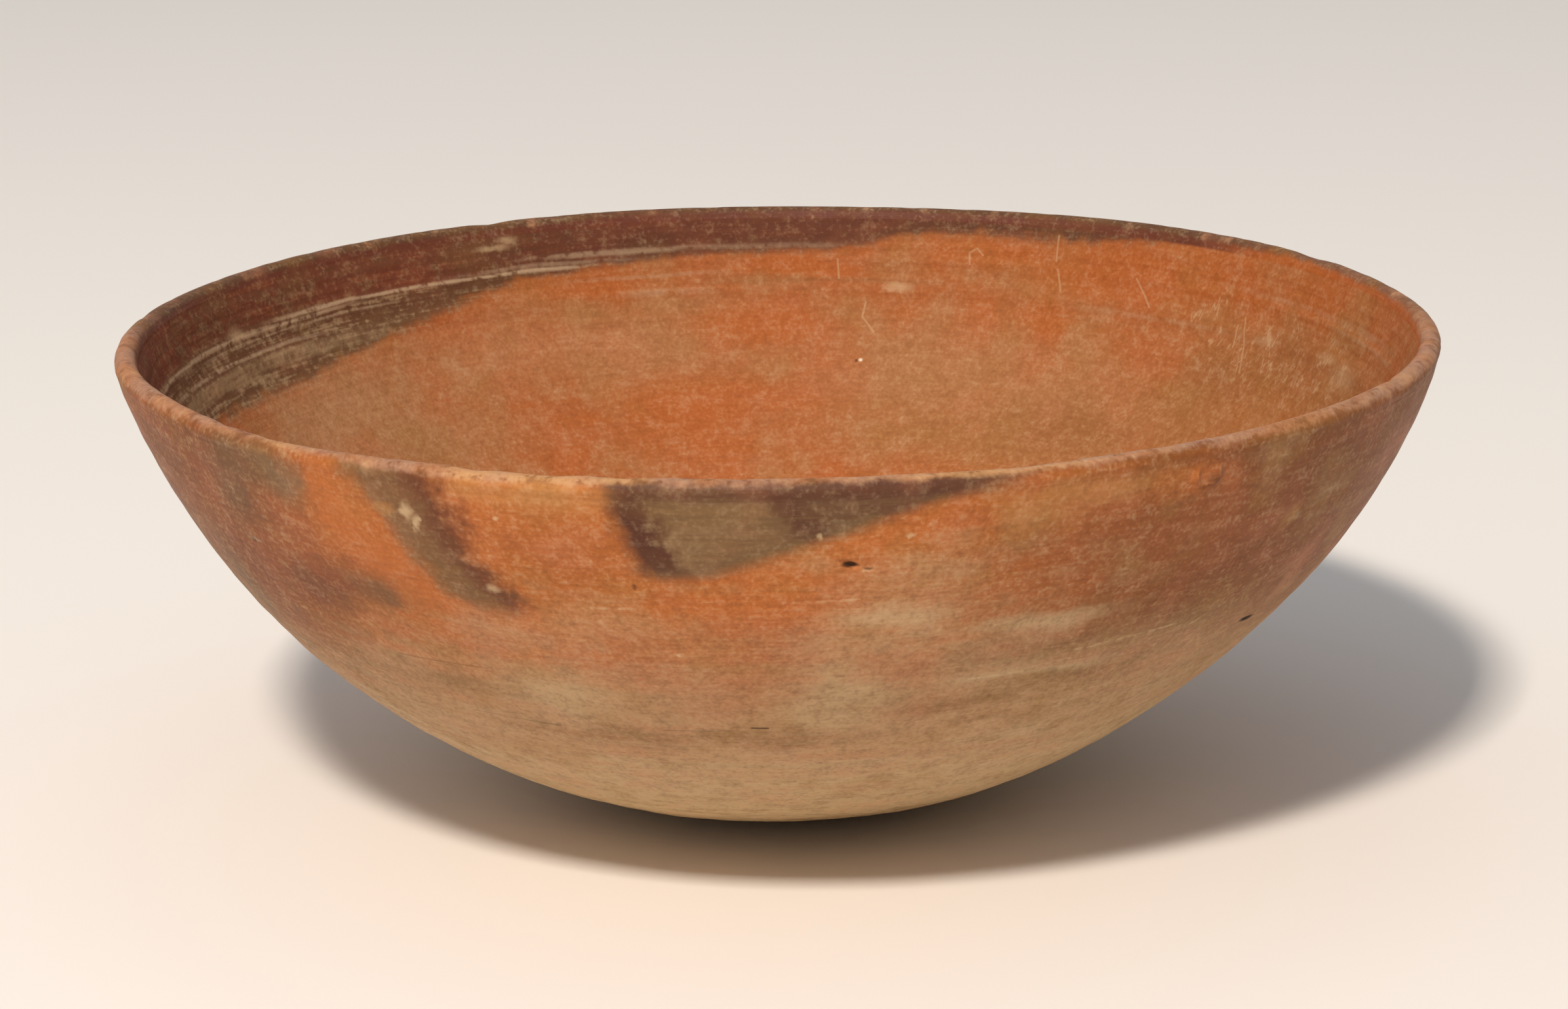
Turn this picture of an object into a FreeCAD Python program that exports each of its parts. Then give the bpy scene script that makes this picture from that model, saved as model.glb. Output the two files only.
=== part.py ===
# A wide, round-bottomed earthenware bowl, hand-built, coated with a fine slip, burnished and
# fired. It is one vessel with three layers that can be told apart in a break: the clay wall, the
# slip that lines the inside, and the slip that coats the upper part of the outside. The lip
# between the two coats is bare clay, worn pale.
#
# Every wall is a stretch of a sphere centred on the bowl's axis, and the lip is a full round that
# runs smoothly into both walls. The bottom is pressed flat over a small disc.
#
# Frame: +Z is up and is the bowl's axis, and the bowl stands on Z = 0, centred on the origin.
# All lengths are millimetres.
import FreeCAD, Part
import Sketcher

import math
import os

# Every driving dimension: its name, its size and what it measures.
DIMENSIONS = (
    ("rim_diameter", 300.0, "across the lip, outside to outside"),
    ("bowl_height", 110.0, "from the resting flat to the top of the lip"),
    ("lip_thickness", 4.8, "across the lip, which is a full round of clay"),
    ("floor_thickness", 7.0, "clay on the axis"),
    ("flat_diameter", 38.0, "the disc that the bowl stands on"),
    ("flat_edge_radius", 30.0, "rounding between the resting flat and the outer wall"),
    ("bare_lip_depth", 1.0, "clay left bare between the lip's round and the edge of a coat"),
    ("inner_slip_thickness", 0.3, "coat that lines the inside"),
    ("outer_slip_thickness", 0.3, "coat on the outside"),
    ("outer_slip_height", 34.0, "from the resting flat to the lower edge of the outer coat"),
)

# What a sketch calls its origin, its upright axis, and the ends and centre of a line or an arc.
ORIGIN = (-1, 1)
UPRIGHT_AXIS_INDEX = -2
START, END, CENTRE = range(1, 4)

FULL_TURN = 360.0
CUBIC_MM_PER_CUBIC_CM = 1000


def make_sheet(doc):
    """The spreadsheet of driving dimensions, one named cell to each."""
    sheet = doc.addObject("Spreadsheet::Sheet", "sizes")
    for row, (name, size, meaning) in enumerate(DIMENSIONS, start=1):
        sheet.set(f"A{row}", name)
        sheet.set(f"B{row}", str(size))
        sheet.set(f"C{row}", meaning)
        sheet.setAlias(f"B{row}", name)
    doc.recompute()
    return sheet


def add_body(doc, name):
    """An empty body in the bowl's own frame."""
    body = doc.addObject("PartDesign::Body", name)
    body.Label = name
    body.Placement = FreeCAD.Placement()
    return body


def add_profile(body, name):
    """An empty sketch on the body's XZ plane: across is the radius and up is the height."""
    sketch = body.newObject("Sketcher::SketchObject", name)
    plane = next(feature for feature in body.Origin.OriginFeatures if feature.Role == "XZ_Plane")
    sketch.AttachmentSupport = (plane, "")
    sketch.MapMode = "FlatFace"
    return sketch


def add_line(sketch, start, end):
    """A straight line from start to end."""
    return sketch.addGeometry(Part.LineSegment(FreeCAD.Vector(*start, 0), FreeCAD.Vector(*end, 0)))


def add_arc(sketch, centre, start, end):
    """An arc about centre, anticlockwise from start to end."""
    middle = FreeCAD.Vector(*centre, 0)
    rays = [FreeCAD.Vector(*point, 0) - middle for point in (start, end)]
    circle = Part.Circle(middle, FreeCAD.Vector(0, 0, 1), rays[0].Length)
    bearings = [math.atan2(ray.y, ray.x) for ray in rays]
    return sketch.addGeometry(Part.ArcOfCircle(circle, *bearings))


def hold(sketch, kind, *references):
    """A geometric constraint, such as two ends that meet."""
    return sketch.addConstraint(Sketcher.Constraint(kind, *references))


def drive(sketch, name, formula, kind, *references):
    """A named dimension that follows a formula on the sheet's cells."""
    start_value = sketch.evalExpression(formula)
    sketch.renameConstraint(hold(sketch, kind, *references, float(start_value)), name)
    sketch.setExpression(f"Constraints.{name}", formula)


def read_off(sketch, name, size, kind, *references):
    """A named dimension that follows the drawing, for another sketch to take its size from."""
    index = hold(sketch, kind, *references, size)
    sketch.setDriving(index, False)
    sketch.renameConstraint(index, name)


def turn_about_axis(body, sketch, name):
    """The sketch, turned once round the bowl's axis."""
    solid = body.newObject("PartDesign::Revolution", name)
    solid.Profile = sketch
    solid.ReferenceAxis = (sketch, ["V_Axis"])
    solid.Angle = FULL_TURN
    sketch.Visibility = False
    body.Tip = solid


def wall_circle(upper, lower):
    """The circle, centred on the axis, that touches two rounds: its centre's height and radius.

    A round is the radius and height of its centre and its own radius, which is positive if the
    round lies inside the circle, negative if it lies outside and 0 for a point.
    """
    powers = [radius ** 2 + height ** 2 - size ** 2 for radius, height, size in (upper, lower)]
    climb = upper[1] - lower[1]
    base = (powers[0] - powers[1]) / (2 * climb)
    slope = (upper[2] - lower[2]) / climb
    # The centre's height is base + slope * radius, which leaves a quadratic for the radius.
    offset = base - upper[1]
    square = slope ** 2 - 1
    linear = 2 * (slope * offset + upper[2])
    constant = upper[0] ** 2 + offset ** 2 - upper[2] ** 2
    radius = (-linear - math.sqrt(linear ** 2 - 4 * square * constant)) / (2 * square)
    return base + slope * radius, radius


def touch_point(centre_height, radius, round_centre):
    """Where a wall's circle, centred on the axis, meets the round about round_centre."""
    ray = FreeCAD.Vector(round_centre[0], round_centre[1] - centre_height, 0).normalize()
    return (radius * ray.x, centre_height + radius * ray.y)


def make_clay_body(doc, sheet):
    """The clay: outer wall, resting flat, rounded lip and inner wall, turned as one profile."""
    foot = (0.0, 0.0)
    floor = (0.0, sheet.floor_thickness)
    flat_end = (sheet.flat_diameter / 2, 0.0)
    edge_centre = (flat_end[0], sheet.flat_edge_radius)
    lip_radius = sheet.lip_thickness / 2
    lip_centre = (sheet.rim_diameter / 2 - lip_radius, sheet.bowl_height - lip_radius)
    outer_height, outer_radius = wall_circle((*lip_centre, lip_radius),
                                             (*edge_centre, sheet.flat_edge_radius))
    inner_height, inner_radius = wall_circle((*lip_centre, -lip_radius), (*floor, 0.0))
    outer_low = touch_point(outer_height, outer_radius, edge_centre)
    outer_high = touch_point(outer_height, outer_radius, lip_centre)
    inner_high = touch_point(inner_height, inner_radius, lip_centre)

    body = add_body(doc, "clay_body")
    sketch = add_profile(body, "clay_profile")
    flat = add_line(sketch, foot, flat_end)
    edge = add_arc(sketch, edge_centre, flat_end, outer_low)
    outer = add_arc(sketch, (0.0, outer_height), outer_low, outer_high)
    round_lip = add_arc(sketch, lip_centre, outer_high, inner_high)
    inner = add_arc(sketch, (0.0, inner_height), floor, inner_high)
    axis = add_line(sketch, floor, foot)

    hold(sketch, "Coincident", flat, START, *ORIGIN)
    hold(sketch, "Horizontal", flat)
    hold(sketch, "Tangent", flat, END, edge, START)
    hold(sketch, "Tangent", edge, END, outer, START)
    hold(sketch, "Tangent", outer, END, round_lip, START)
    hold(sketch, "Tangent", round_lip, END, inner, END)
    hold(sketch, "Coincident", inner, START, axis, START)
    hold(sketch, "Coincident", axis, END, *ORIGIN)
    hold(sketch, "Vertical", axis)
    hold(sketch, "PointOnObject", outer, CENTRE, UPRIGHT_AXIS_INDEX)
    hold(sketch, "PointOnObject", inner, CENTRE, UPRIGHT_AXIS_INDEX)
    drive(sketch, "flat_reach", "sizes.flat_diameter / 2", "DistanceX", *ORIGIN, flat, END)
    drive(sketch, "edge_radius", "sizes.flat_edge_radius", "Radius", edge)
    drive(sketch, "lip_radius", "sizes.lip_thickness / 2", "Radius", round_lip)
    drive(sketch, "lip_reach", "(sizes.rim_diameter - sizes.lip_thickness) / 2",
          "DistanceX", *ORIGIN, round_lip, CENTRE)
    drive(sketch, "lip_height", "sizes.bowl_height - sizes.lip_thickness / 2",
          "DistanceY", *ORIGIN, round_lip, CENTRE)
    drive(sketch, "floor_height", "sizes.floor_thickness", "DistanceY", *ORIGIN, inner, START)
    read_off(sketch, "outer_radius", outer_radius, "Radius", outer)
    read_off(sketch, "outer_centre", outer_height, "DistanceY", *ORIGIN, outer, CENTRE)
    read_off(sketch, "outer_top", outer_high[1], "DistanceY", *ORIGIN, outer, END)
    read_off(sketch, "inner_radius", inner_radius, "Radius", inner)
    read_off(sketch, "inner_centre", inner_height, "DistanceY", *ORIGIN, inner, CENTRE)
    read_off(sketch, "inner_top", inner_high[1], "DistanceY", *ORIGIN, inner, END)
    turn_about_axis(body, sketch, "clay_wall")
    doc.recompute()
    return body


def clay_arc(doc, wall):
    """The arc of the clay's profile that makes one wall, "inner" or "outer"."""
    profile = doc.getObject("clay_profile")
    index = next(item.First for item in profile.Constraints if item.Name == f"{wall}_radius")
    return profile.Geometry[index]


def slip_profile(body, name, wall, stand_off):
    """A coat's section: a strip of even thickness along one wall of the clay.

    stand_off is a formula for the coat's free skin, how far it lies from the wall, measured away
    from the wall's centre. The strip ends square to the wall, and its upper end is held short of
    the lip. Its lower end, whose edge is returned with the sketch, is the caller's to place.
    """
    sketch = add_profile(body, name)
    clay = f"clay_profile.Constraints.{wall}"
    skin_radius = f"{clay}_radius + {stand_off} * 1 mm"

    arc = clay_arc(body.Document, wall)
    span = (arc.FirstParameter, arc.LastParameter)
    skin_circle = Part.Circle(arc.Center, arc.Axis, float(sketch.evalExpression(skin_radius)))
    skin_arc = Part.ArcOfCircle(skin_circle, *span)
    on_wall = sketch.addGeometry(arc)
    skin = sketch.addGeometry(skin_arc)
    lower_edge = sketch.addGeometry(Part.LineSegment(arc.StartPoint, skin_arc.StartPoint))
    upper_edge = sketch.addGeometry(Part.LineSegment(arc.EndPoint, skin_arc.EndPoint))

    hold(sketch, "PointOnObject", on_wall, CENTRE, UPRIGHT_AXIS_INDEX)
    hold(sketch, "Coincident", on_wall, CENTRE, skin, CENTRE)
    for edge, end in ((lower_edge, START), (upper_edge, END)):
        hold(sketch, "Coincident", edge, START, on_wall, end)
        hold(sketch, "Coincident", edge, END, skin, end)
        hold(sketch, "PointOnObject", on_wall, CENTRE, edge)
    drive(sketch, "centre_height", f"{clay}_centre", "DistanceY", *ORIGIN, on_wall, CENTRE)
    drive(sketch, "wall_radius", f"{clay}_radius", "Radius", on_wall)
    drive(sketch, "skin_radius", skin_radius, "Radius", skin)
    drive(sketch, "top_height", f"{clay}_top - sizes.bare_lip_depth * 1 mm",
          "DistanceY", *ORIGIN, on_wall, END)
    return sketch, lower_edge


def make_inner_slip(doc):
    """The coat that lines the whole inside, up to just short of the lip."""
    body = add_body(doc, "inner_slip")
    sketch, lower_edge = slip_profile(body, "inner_slip_profile", "inner",
                                      "-sizes.inner_slip_thickness")
    hold(sketch, "PointOnObject", lower_edge, START, UPRIGHT_AXIS_INDEX)
    turn_about_axis(body, sketch, "inner_slip_coat")
    return body


def make_outer_slip(doc):
    """The coat on the outside, from just below the lip down to the bare bottom of the bowl."""
    body = add_body(doc, "outer_slip")
    sketch, lower_edge = slip_profile(body, "outer_slip_profile", "outer",
                                      "sizes.outer_slip_thickness")
    drive(sketch, "bottom_height", "sizes.outer_slip_height",
          "DistanceY", *ORIGIN, lower_edge, START)
    turn_about_axis(body, sketch, "outer_slip_coat")
    return body


def check_model(doc, bodies):
    """Stops if a feature failed, or if a body isn't one sound solid."""
    for item in doc.Objects:
        faults = {"Invalid", "Error"}.intersection(item.State)
        if faults:
            raise RuntimeError(f"{item.Label}: {', '.join(sorted(faults))}")
    for body in bodies:
        if body.Shape.isNull() or not body.Shape.isValid() or len(body.Shape.Solids) != 1:
            raise RuntimeError(f"{body.Label}: not one sound solid")


def main():
    doc = FreeCAD.newDocument("bowl")
    sheet = make_sheet(doc)
    bodies = [make_clay_body(doc, sheet), make_inner_slip(doc), make_outer_slip(doc)]
    doc.recompute()
    check_model(doc, bodies)
    os.makedirs("parts", exist_ok=True)
    for body in bodies:
        body.Shape.exportStep(os.path.join("parts", f"{body.Label}.step"))
        print(f"{body.Label}: {body.Shape.Volume / CUBIC_MM_PER_CUBIC_CM:.2f} cm3")


main()
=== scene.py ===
"""A round-bottomed earthenware bowl, slipped, burnished and fired, with its floor, light and camera."""

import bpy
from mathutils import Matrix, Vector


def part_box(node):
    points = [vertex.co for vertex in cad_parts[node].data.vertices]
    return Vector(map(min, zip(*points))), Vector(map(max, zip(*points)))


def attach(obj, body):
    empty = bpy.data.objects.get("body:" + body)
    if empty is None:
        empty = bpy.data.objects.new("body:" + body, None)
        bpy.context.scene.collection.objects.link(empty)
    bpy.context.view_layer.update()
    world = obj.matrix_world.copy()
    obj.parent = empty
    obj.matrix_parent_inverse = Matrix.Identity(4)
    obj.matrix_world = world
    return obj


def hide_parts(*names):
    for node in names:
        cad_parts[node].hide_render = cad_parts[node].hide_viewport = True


bl_info = {
    "name": "Burnished Slip Bowl",
    "version": (1, 0, 0),
    "blender": (4, 5, 0),
    "location": "View3D > Sidebar > Bowl",
    "description": "Makes a hand-built earthenware bowl with burnished red slip and fire clouds",
    "category": "Add Mesh",
}

import math
from collections import namedtuple
from functools import reduce

import bmesh
import bpy
from mathutils import Matrix, Vector, noise

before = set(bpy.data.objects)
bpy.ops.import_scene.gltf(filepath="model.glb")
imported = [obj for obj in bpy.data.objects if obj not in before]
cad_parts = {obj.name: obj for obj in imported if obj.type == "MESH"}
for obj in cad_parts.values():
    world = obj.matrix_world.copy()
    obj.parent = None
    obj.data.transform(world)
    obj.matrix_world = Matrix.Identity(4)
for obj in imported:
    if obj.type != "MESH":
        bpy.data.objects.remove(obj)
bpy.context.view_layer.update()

MM = 0.001
BODY = "root"
AXIS = (0, 0, 1)
FULL_TURN = math.tau
SECTORS = 20
MERGE_REACH, COLLAPSE_REACH = 0.001 * MM, 0.0001 * MM

CLAY_LOW, CLAY_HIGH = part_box("clay_body")
INNER_LOW, INNER_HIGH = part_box("inner_slip")
OUTER_LOW, OUTER_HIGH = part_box("outer_slip")


# ---------------------------------------------------------------- sizes, colours and stage

def shade(red, green, blue):
    """A display colour, 0 to 255, as the linear values that a shader takes."""
    shares = [level / 255 for level in (red, green, blue)]
    return tuple(share / 12.92 if share <= 0.04045 else ((share + 0.055) / 1.055) ** 2.4 for share in shares)


def length(name, description, default):
    """A length in metres that the sidebar shows in the scene's units."""
    return bpy.props.FloatProperty(name=name, description=description, default=default, min=0.0,
                                   precision=5, subtype="DISTANCE", unit="LENGTH")


def glow(name, description, default):
    """Strength of a soft light."""
    return bpy.props.FloatProperty(name=name, description=description, default=default, min=0.0)


def aim(name, description, degrees):
    """An angle that the main light or the camera is aimed by."""
    return bpy.props.FloatProperty(name=name, description=description, default=math.radians(degrees),
                                   subtype="ANGLE", unit="ROTATION")


def colour(name, description, default):
    """A colour with a swatch in the sidebar."""
    return bpy.props.FloatVectorProperty(name=name, description=description, default=default, min=0.0,
                                         max=1.0, size=3, subtype="COLOR")


class BowlSizes(bpy.types.PropertyGroup):
    """Sizes of the bowl and of its two coats of slip."""
    rim_diameter: length("Rim diameter", "Across the bowl at its lip", CLAY_HIGH.x - CLAY_LOW.x)
    bowl_height: length("Height", "From the table to the top of the lip", CLAY_HIGH.z)
    floor_thickness: length("Floor thickness", "Clay under the middle of the hollow", INNER_LOW.z)
    lip_thickness: length("Lip thickness", "Diameter of the rounded lip", 4.8 * MM)
    flat_diameter: length("Resting flat", "Diameter of the flat that the bowl stands on", 38.0 * MM)
    flat_edge_radius: length("Flat edge radius", "Radius where the flat turns into the wall", 30.0 * MM)
    inner_slip: length("Inner slip", "Thickness of the slip inside", 0.3 * MM)
    outer_slip: length("Outer slip", "Thickness of the slip outside", 0.3 * MM)
    feather: length("Feathered edge", "Thickness that a coat keeps at its worn edge", 0.03 * MM)
    steps_round: bpy.props.IntProperty(name="Steps round", description="Facets in one turn of the bowl",
                                       default=480, min=24)


class SlipColours(bpy.types.PropertyGroup):
    """Colours of the slip, the bare clay and the marks that the fire left."""
    bright_slip: colour("Bright slip", "Well fired slip, outside", shade(184, 106, 52))
    red_slip: colour("Red slip", "Redder parts of the slip, outside", shade(170, 98, 60))
    # Darker brown: partly the slip's own duller colour, and partly painted shade on the right side, which
    # the light reaches less.
    brown_slip_and_shade: colour("Brown slip", "Duller slip on the right of the outside", shade(130, 76, 38))
    buff_clay: colour("Buff clay", "Clay showing towards the bottom", shade(179, 145, 107))
    # Pale and foot clay: paler clay of the lower body, painted lighter still towards the bottom to stand in
    # for the light the floor throws up under the bowl.
    pale_clay: colour("Pale clay", "Palest clay, at the bottom", shade(197, 171, 132))
    foot_clay_and_bounce_light: colour("Foot clay", "Clay round the resting flat", shade(240, 210, 162))
    yellow_clay: colour("Yellow clay", "Yellower clay where the slip wore off", shade(184, 134, 80))
    cloud_dark: colour("Cloud edge", "Purple-brown edge of a fire cloud", shade(76, 44, 36))
    cloud_grey: colour("Cloud middle", "Grey-tan middle of a fire cloud", shade(126, 104, 76))
    cloud_tan: colour("Cloud heart", "Tan heart of the great cloud", shade(120, 93, 63))
    cloud_olive: colour("Cloud olive", "Olive-grey mottling in a fire cloud", shade(106, 84, 58))
    hollow_slip: colour("Hollow slip", "Slip inside the bowl", shade(168, 98, 54))
    hollow_bright: colour("Bright hollow slip", "Best fired slip inside", shade(174, 94, 44))
    hollow_dusty: colour("Dusty slip", "Rubbed and dusty slip inside", shade(168, 116, 76))
    hollow_tan: colour("Tan slip", "Yellower slip on the right inside", shade(158, 106, 62))
    hollow_brown: colour("Brown hollow slip", "Browner slip on the right inside", shade(146, 92, 54))
    band_maroon: colour("Band maroon", "Upper part of the dark band inside", shade(106, 58, 44))
    band_brown: colour("Band brown", "Lower part of the dark band inside", shade(94, 66, 48))
    band_tan: colour("Band tan", "Tan rings in the dark band", shade(158, 134, 102))
    lip_clay: colour("Lip", "Rubbed clay of the lip", shade(165, 124, 100))
    lip_pale: colour("Pale lip", "Palest clay of the lip", shade(206, 156, 104))
    lip_soot: colour("Lip soot", "Lip where the dark band reaches it", shade(84, 58, 40))
    deposit: colour("Deposit", "Blue-grey deposit on the lip", shade(138, 128, 122))
    pink_clay: colour("Pink clay", "Pinker blush in slip and clay", shade(186, 114, 78))
    olive_clay: colour("Olive clay", "Yellower blush in slip and clay", shade(160, 119, 66))
    ring: colour("Ring lines", "Pale lines of the smoothing rings", shade(188, 160, 130))
    drift: colour("Drift", "Olive-brown streaks in the buff clay", shade(140, 104, 66))
    # Painted sheen: a greyish haze for the left of the outside, in place of the sheen at its grazing edge.
    painted_sheen: colour("Haze", "Greyish bloom on the left of the outside", shade(180, 158, 136))
    chalk: colour("Chalk", "Cream scratches, flecks and dust", shade(212, 182, 142))
    white_dot: colour("White grit", "A white grain in the clay", shade(238, 222, 200))
    grime: colour("Grime", "Dark dirt in the grain", shade(92, 50, 24))
    # Dark colour of cracks and pits, also used as painted shade in the nicks and beside the blister.
    pit_and_shade: colour("Pit", "Bottom of a nick or a crack", shade(40, 26, 20))


class BowlStage(bpy.types.PropertyGroup):
    """Floor, light and camera."""
    floor_radius: length("Floor radius", "How far the floor reaches", 14.0)
    floor_colour: colour("Floor", "Plain pale floor", shade(248, 243, 239))
    surround: colour("Surround", "Plain pale surround", shade(222, 210, 199))
    surround_tint: colour("Surround tint", "Colour of the soft light from all round", shade(246, 251, 255))
    surround_light: glow("Light from above", "Strength of the soft light above", 0.52)
    side_light: glow("Light from the sides", "Strength of the soft light around", 0.03)
    left_light: glow("Light from the left", "How much more of it comes from the left than from above", 0.08)
    key_watts: bpy.props.FloatProperty(name="Main light", description="Power of the main light",
                                       default=182.0, min=0.0, unit="POWER")
    key_tint: colour("Main light tint", "Colour of the main light", shade(255, 244, 230))
    key_distance: length("Light distance", "From the bowl to the main light", 4.5)
    key_width: length("Light width", "Side of the main light, which softens the shadow", 0.465)
    key_bearing: aim("Light bearing", "Round from the front, to the right", -15.5)
    key_rise: aim("Light rise", "Above the floor", 46.5)
    eye: bpy.props.FloatVectorProperty(name="Eye", description="Place of the camera", size=3, precision=5,
                                       default=(0.0, -0.97808, 0.31824), subtype="XYZ", unit="LENGTH")
    pitch: aim("Pitch", "How far the camera looks down", 14.41)
    yaw: aim("Yaw", "How far the camera turns to the left", -0.05)
    roll: aim("Roll", "How far the camera leans", -0.854)
    lens: bpy.props.FloatProperty(name="Lens", description="Focal length in millimetres",
                                  default=100.56, min=1.0, subtype="DISTANCE_CAMERA")


# ---------------------------------------------------------------- the bowl's section

Round = namedtuple("Round", "radius height size")
Wall = namedtuple("Wall", "centre radius")
Section = namedtuple("Section", "outer inner lip flat_edge edge_angle outer_top inner_top slip_foot "
                                "slip_top hollow_top")


def wall_circle(upper, lower):
    """The circle on the axis that touches two rounds: one lies inside it where its size is above zero, and
    outside it where its size is below zero."""
    powers = [each.radius ** 2 + each.height ** 2 - each.size ** 2 for each in (upper, lower)]
    climb = upper.height - lower.height
    base = (powers[0] - powers[1]) / (2 * climb)
    slope = (upper.size - lower.size) / climb
    offset = base - upper.height
    square = slope ** 2 - 1
    linear = 2 * (slope * offset + upper.size)
    constant = upper.radius ** 2 + offset ** 2 - upper.size ** 2
    radius = (-linear - math.sqrt(linear ** 2 - 4 * square * constant)) / (2 * square)
    return Wall(base + slope * radius, radius)


def bowl_section(sizes):
    """Circles and angles of the section. An angle starts at straight down, seen from the middle of its
    circle."""
    lip_size = sizes.lip_thickness / 2
    lip = Round(sizes.rim_diameter / 2 - lip_size, sizes.bowl_height - lip_size, lip_size)
    flat_edge = Round(sizes.flat_diameter / 2, sizes.flat_edge_radius, sizes.flat_edge_radius)
    outer = wall_circle(lip, flat_edge)
    inner = wall_circle(Round(lip.radius, lip.height, -lip_size), Round(0, sizes.floor_thickness, 0))
    coat = outer.radius + sizes.outer_slip
    return Section(
        outer=outer, inner=inner, lip=lip, flat_edge=flat_edge,
        edge_angle=math.atan2(flat_edge.radius, outer.centre - flat_edge.height),
        outer_top=math.atan2(lip.radius, outer.centre - lip.height),
        inner_top=math.atan2(lip.radius, inner.centre - lip.height),
        slip_foot=math.acos((outer.centre - OUTER_LOW.z) / coat),
        slip_top=math.asin(OUTER_HIGH.x / coat),
        hollow_top=math.asin(INNER_HIGH.x / inner.radius))


class Pen:
    """Draws a profile in the XZ plane, one line or arc after another."""

    def __init__(self, mesh, radius, height):
        self.mesh = mesh
        self.tip = bmesh.ops.create_vert(mesh, co=(radius, 0, height))["vert"][0]

    def line(self, radius, height, step):
        """Draws a straight line to a place, in steps of about that length."""
        way = Vector((radius, 0, height)) - self.tip.co
        steps = max(1, round(way.length / step))
        for _ in range(steps):
            self.tip = bmesh.ops.extrude_vert_indiv(self.mesh, verts=[self.tip])["verts"][0]
            bmesh.ops.translate(self.mesh, verts=[self.tip], vec=way / steps)

    def arc(self, centre, turn, step):
        """Sweeps on about a centre (radius, height). A turn above zero goes from +X towards +Z."""
        middle = Vector((centre[0], 0, centre[1]))
        steps = max(1, round(abs(turn) * (self.tip.co - middle).length / step))
        drawn = bmesh.ops.spin(self.mesh, geom=[self.tip], cent=middle, axis=(0, -1, 0), angle=turn,
                               steps=steps)
        self.tip = next(part for part in drawn["geom_last"] if isinstance(part, bmesh.types.BMVert))


def spin_round(mesh, steps):
    """Turns the profile into a closed shell about the bowl's axis, with its faces outwards. One sector is
    turned first and then copied round, because that is much quicker than a whole turn at once."""
    sector = FULL_TURN / SECTORS
    bmesh.ops.spin(mesh, geom=mesh.verts[:] + mesh.edges[:], cent=(0, 0, 0), axis=AXIS, angle=sector,
                   steps=round(steps / SECTORS))
    bmesh.ops.spin(mesh, geom=mesh.verts[:] + mesh.edges[:] + mesh.faces[:], cent=(0, 0, 0), axis=AXIS,
                   angle=FULL_TURN - sector, steps=SECTORS - 1, use_duplicate=True)
    bmesh.ops.remove_doubles(mesh, verts=mesh.verts, dist=MERGE_REACH)
    bmesh.ops.dissolve_degenerate(mesh, edges=mesh.edges, dist=COLLAPSE_REACH)
    bmesh.ops.recalc_face_normals(mesh, faces=mesh.faces)


# ---------------------------------------------------------------- the maker's hand

def soft_step(value, low, high):
    """0 below low, 1 above high and an S between them. A low above the high turns it round."""
    share = min(1.0, max(0.0, (value - low) / (high - low)))
    return share * share * (3 - 2 * share)


def bump(offset, reach):
    """A smooth rise of 1 that fades out over a reach."""
    return math.exp(-(offset / reach) ** 2)


def turn_from(bearing, place):
    """Degrees from one bearing to another, the short way round."""
    return (place - bearing + 180) % 360 - 180


# Bearings go round from the front, to the right, in degrees. Heights and depths are in millimetres.
Dent = namedtuple("Dent", "bearing height half_turn half_height depth")
BODY_DENTS = (Dent(70, 42, 24, 22, 1.5), Dent(-66, 24, 20, 16, -0.5), Dent(-20, 62, 26, 20, -0.3),
              Dent(160, 55, 30, 26, 0.7), Dent(-140, 70, 24, 24, -0.3))
LIP_DIPS = ((-45, 11, 1.0), (-20, 7, 0.35), (12, 22, 0.2), (100, 16, 0.5), (170, 20, 0.7), (-110, 12, 0.3))
LIP_CHIPS = ((-24.5, 1.6, 0.5), (-19.0, 3.2, 0.35), (-12.4, 1.5, 0.4), (19, 4.0, 0.3), (-52, 1.2, 0.3),
             (63, 1.4, 0.35), (118, 2.2, 0.5), (-150, 1.8, 0.45), (-98, 1.3, 0.3))
LUMP_SIZE, LUMP_DEPTH = 40.0, 0.32
FACET_SIZE, FACET_DEPTH = 13.0, 0.10
STROKE_LENGTH, STROKE_WIDTH, STROKE_DEPTH = 60.0, 9.0, 0.07
NIBBLE_SIZE, NIBBLE_DEPTH = 4.5, 0.22
ROUGH_SIZE, ROUGH_DEPTH = 4.6, 0.13
OVAL_DEPTH, RIM_INWARDS, RIM_DOWN = 0.24, 0.22, 0.22
# Radii between which the hand comes in, and heights between which the rim and the lip do.
FREE_FROM, FREE_TO = 20, 52
RIM_FROM, RIM_TO = 84, 109
LIP_FROM, LIP_TO = 105.5, 108.5


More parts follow.
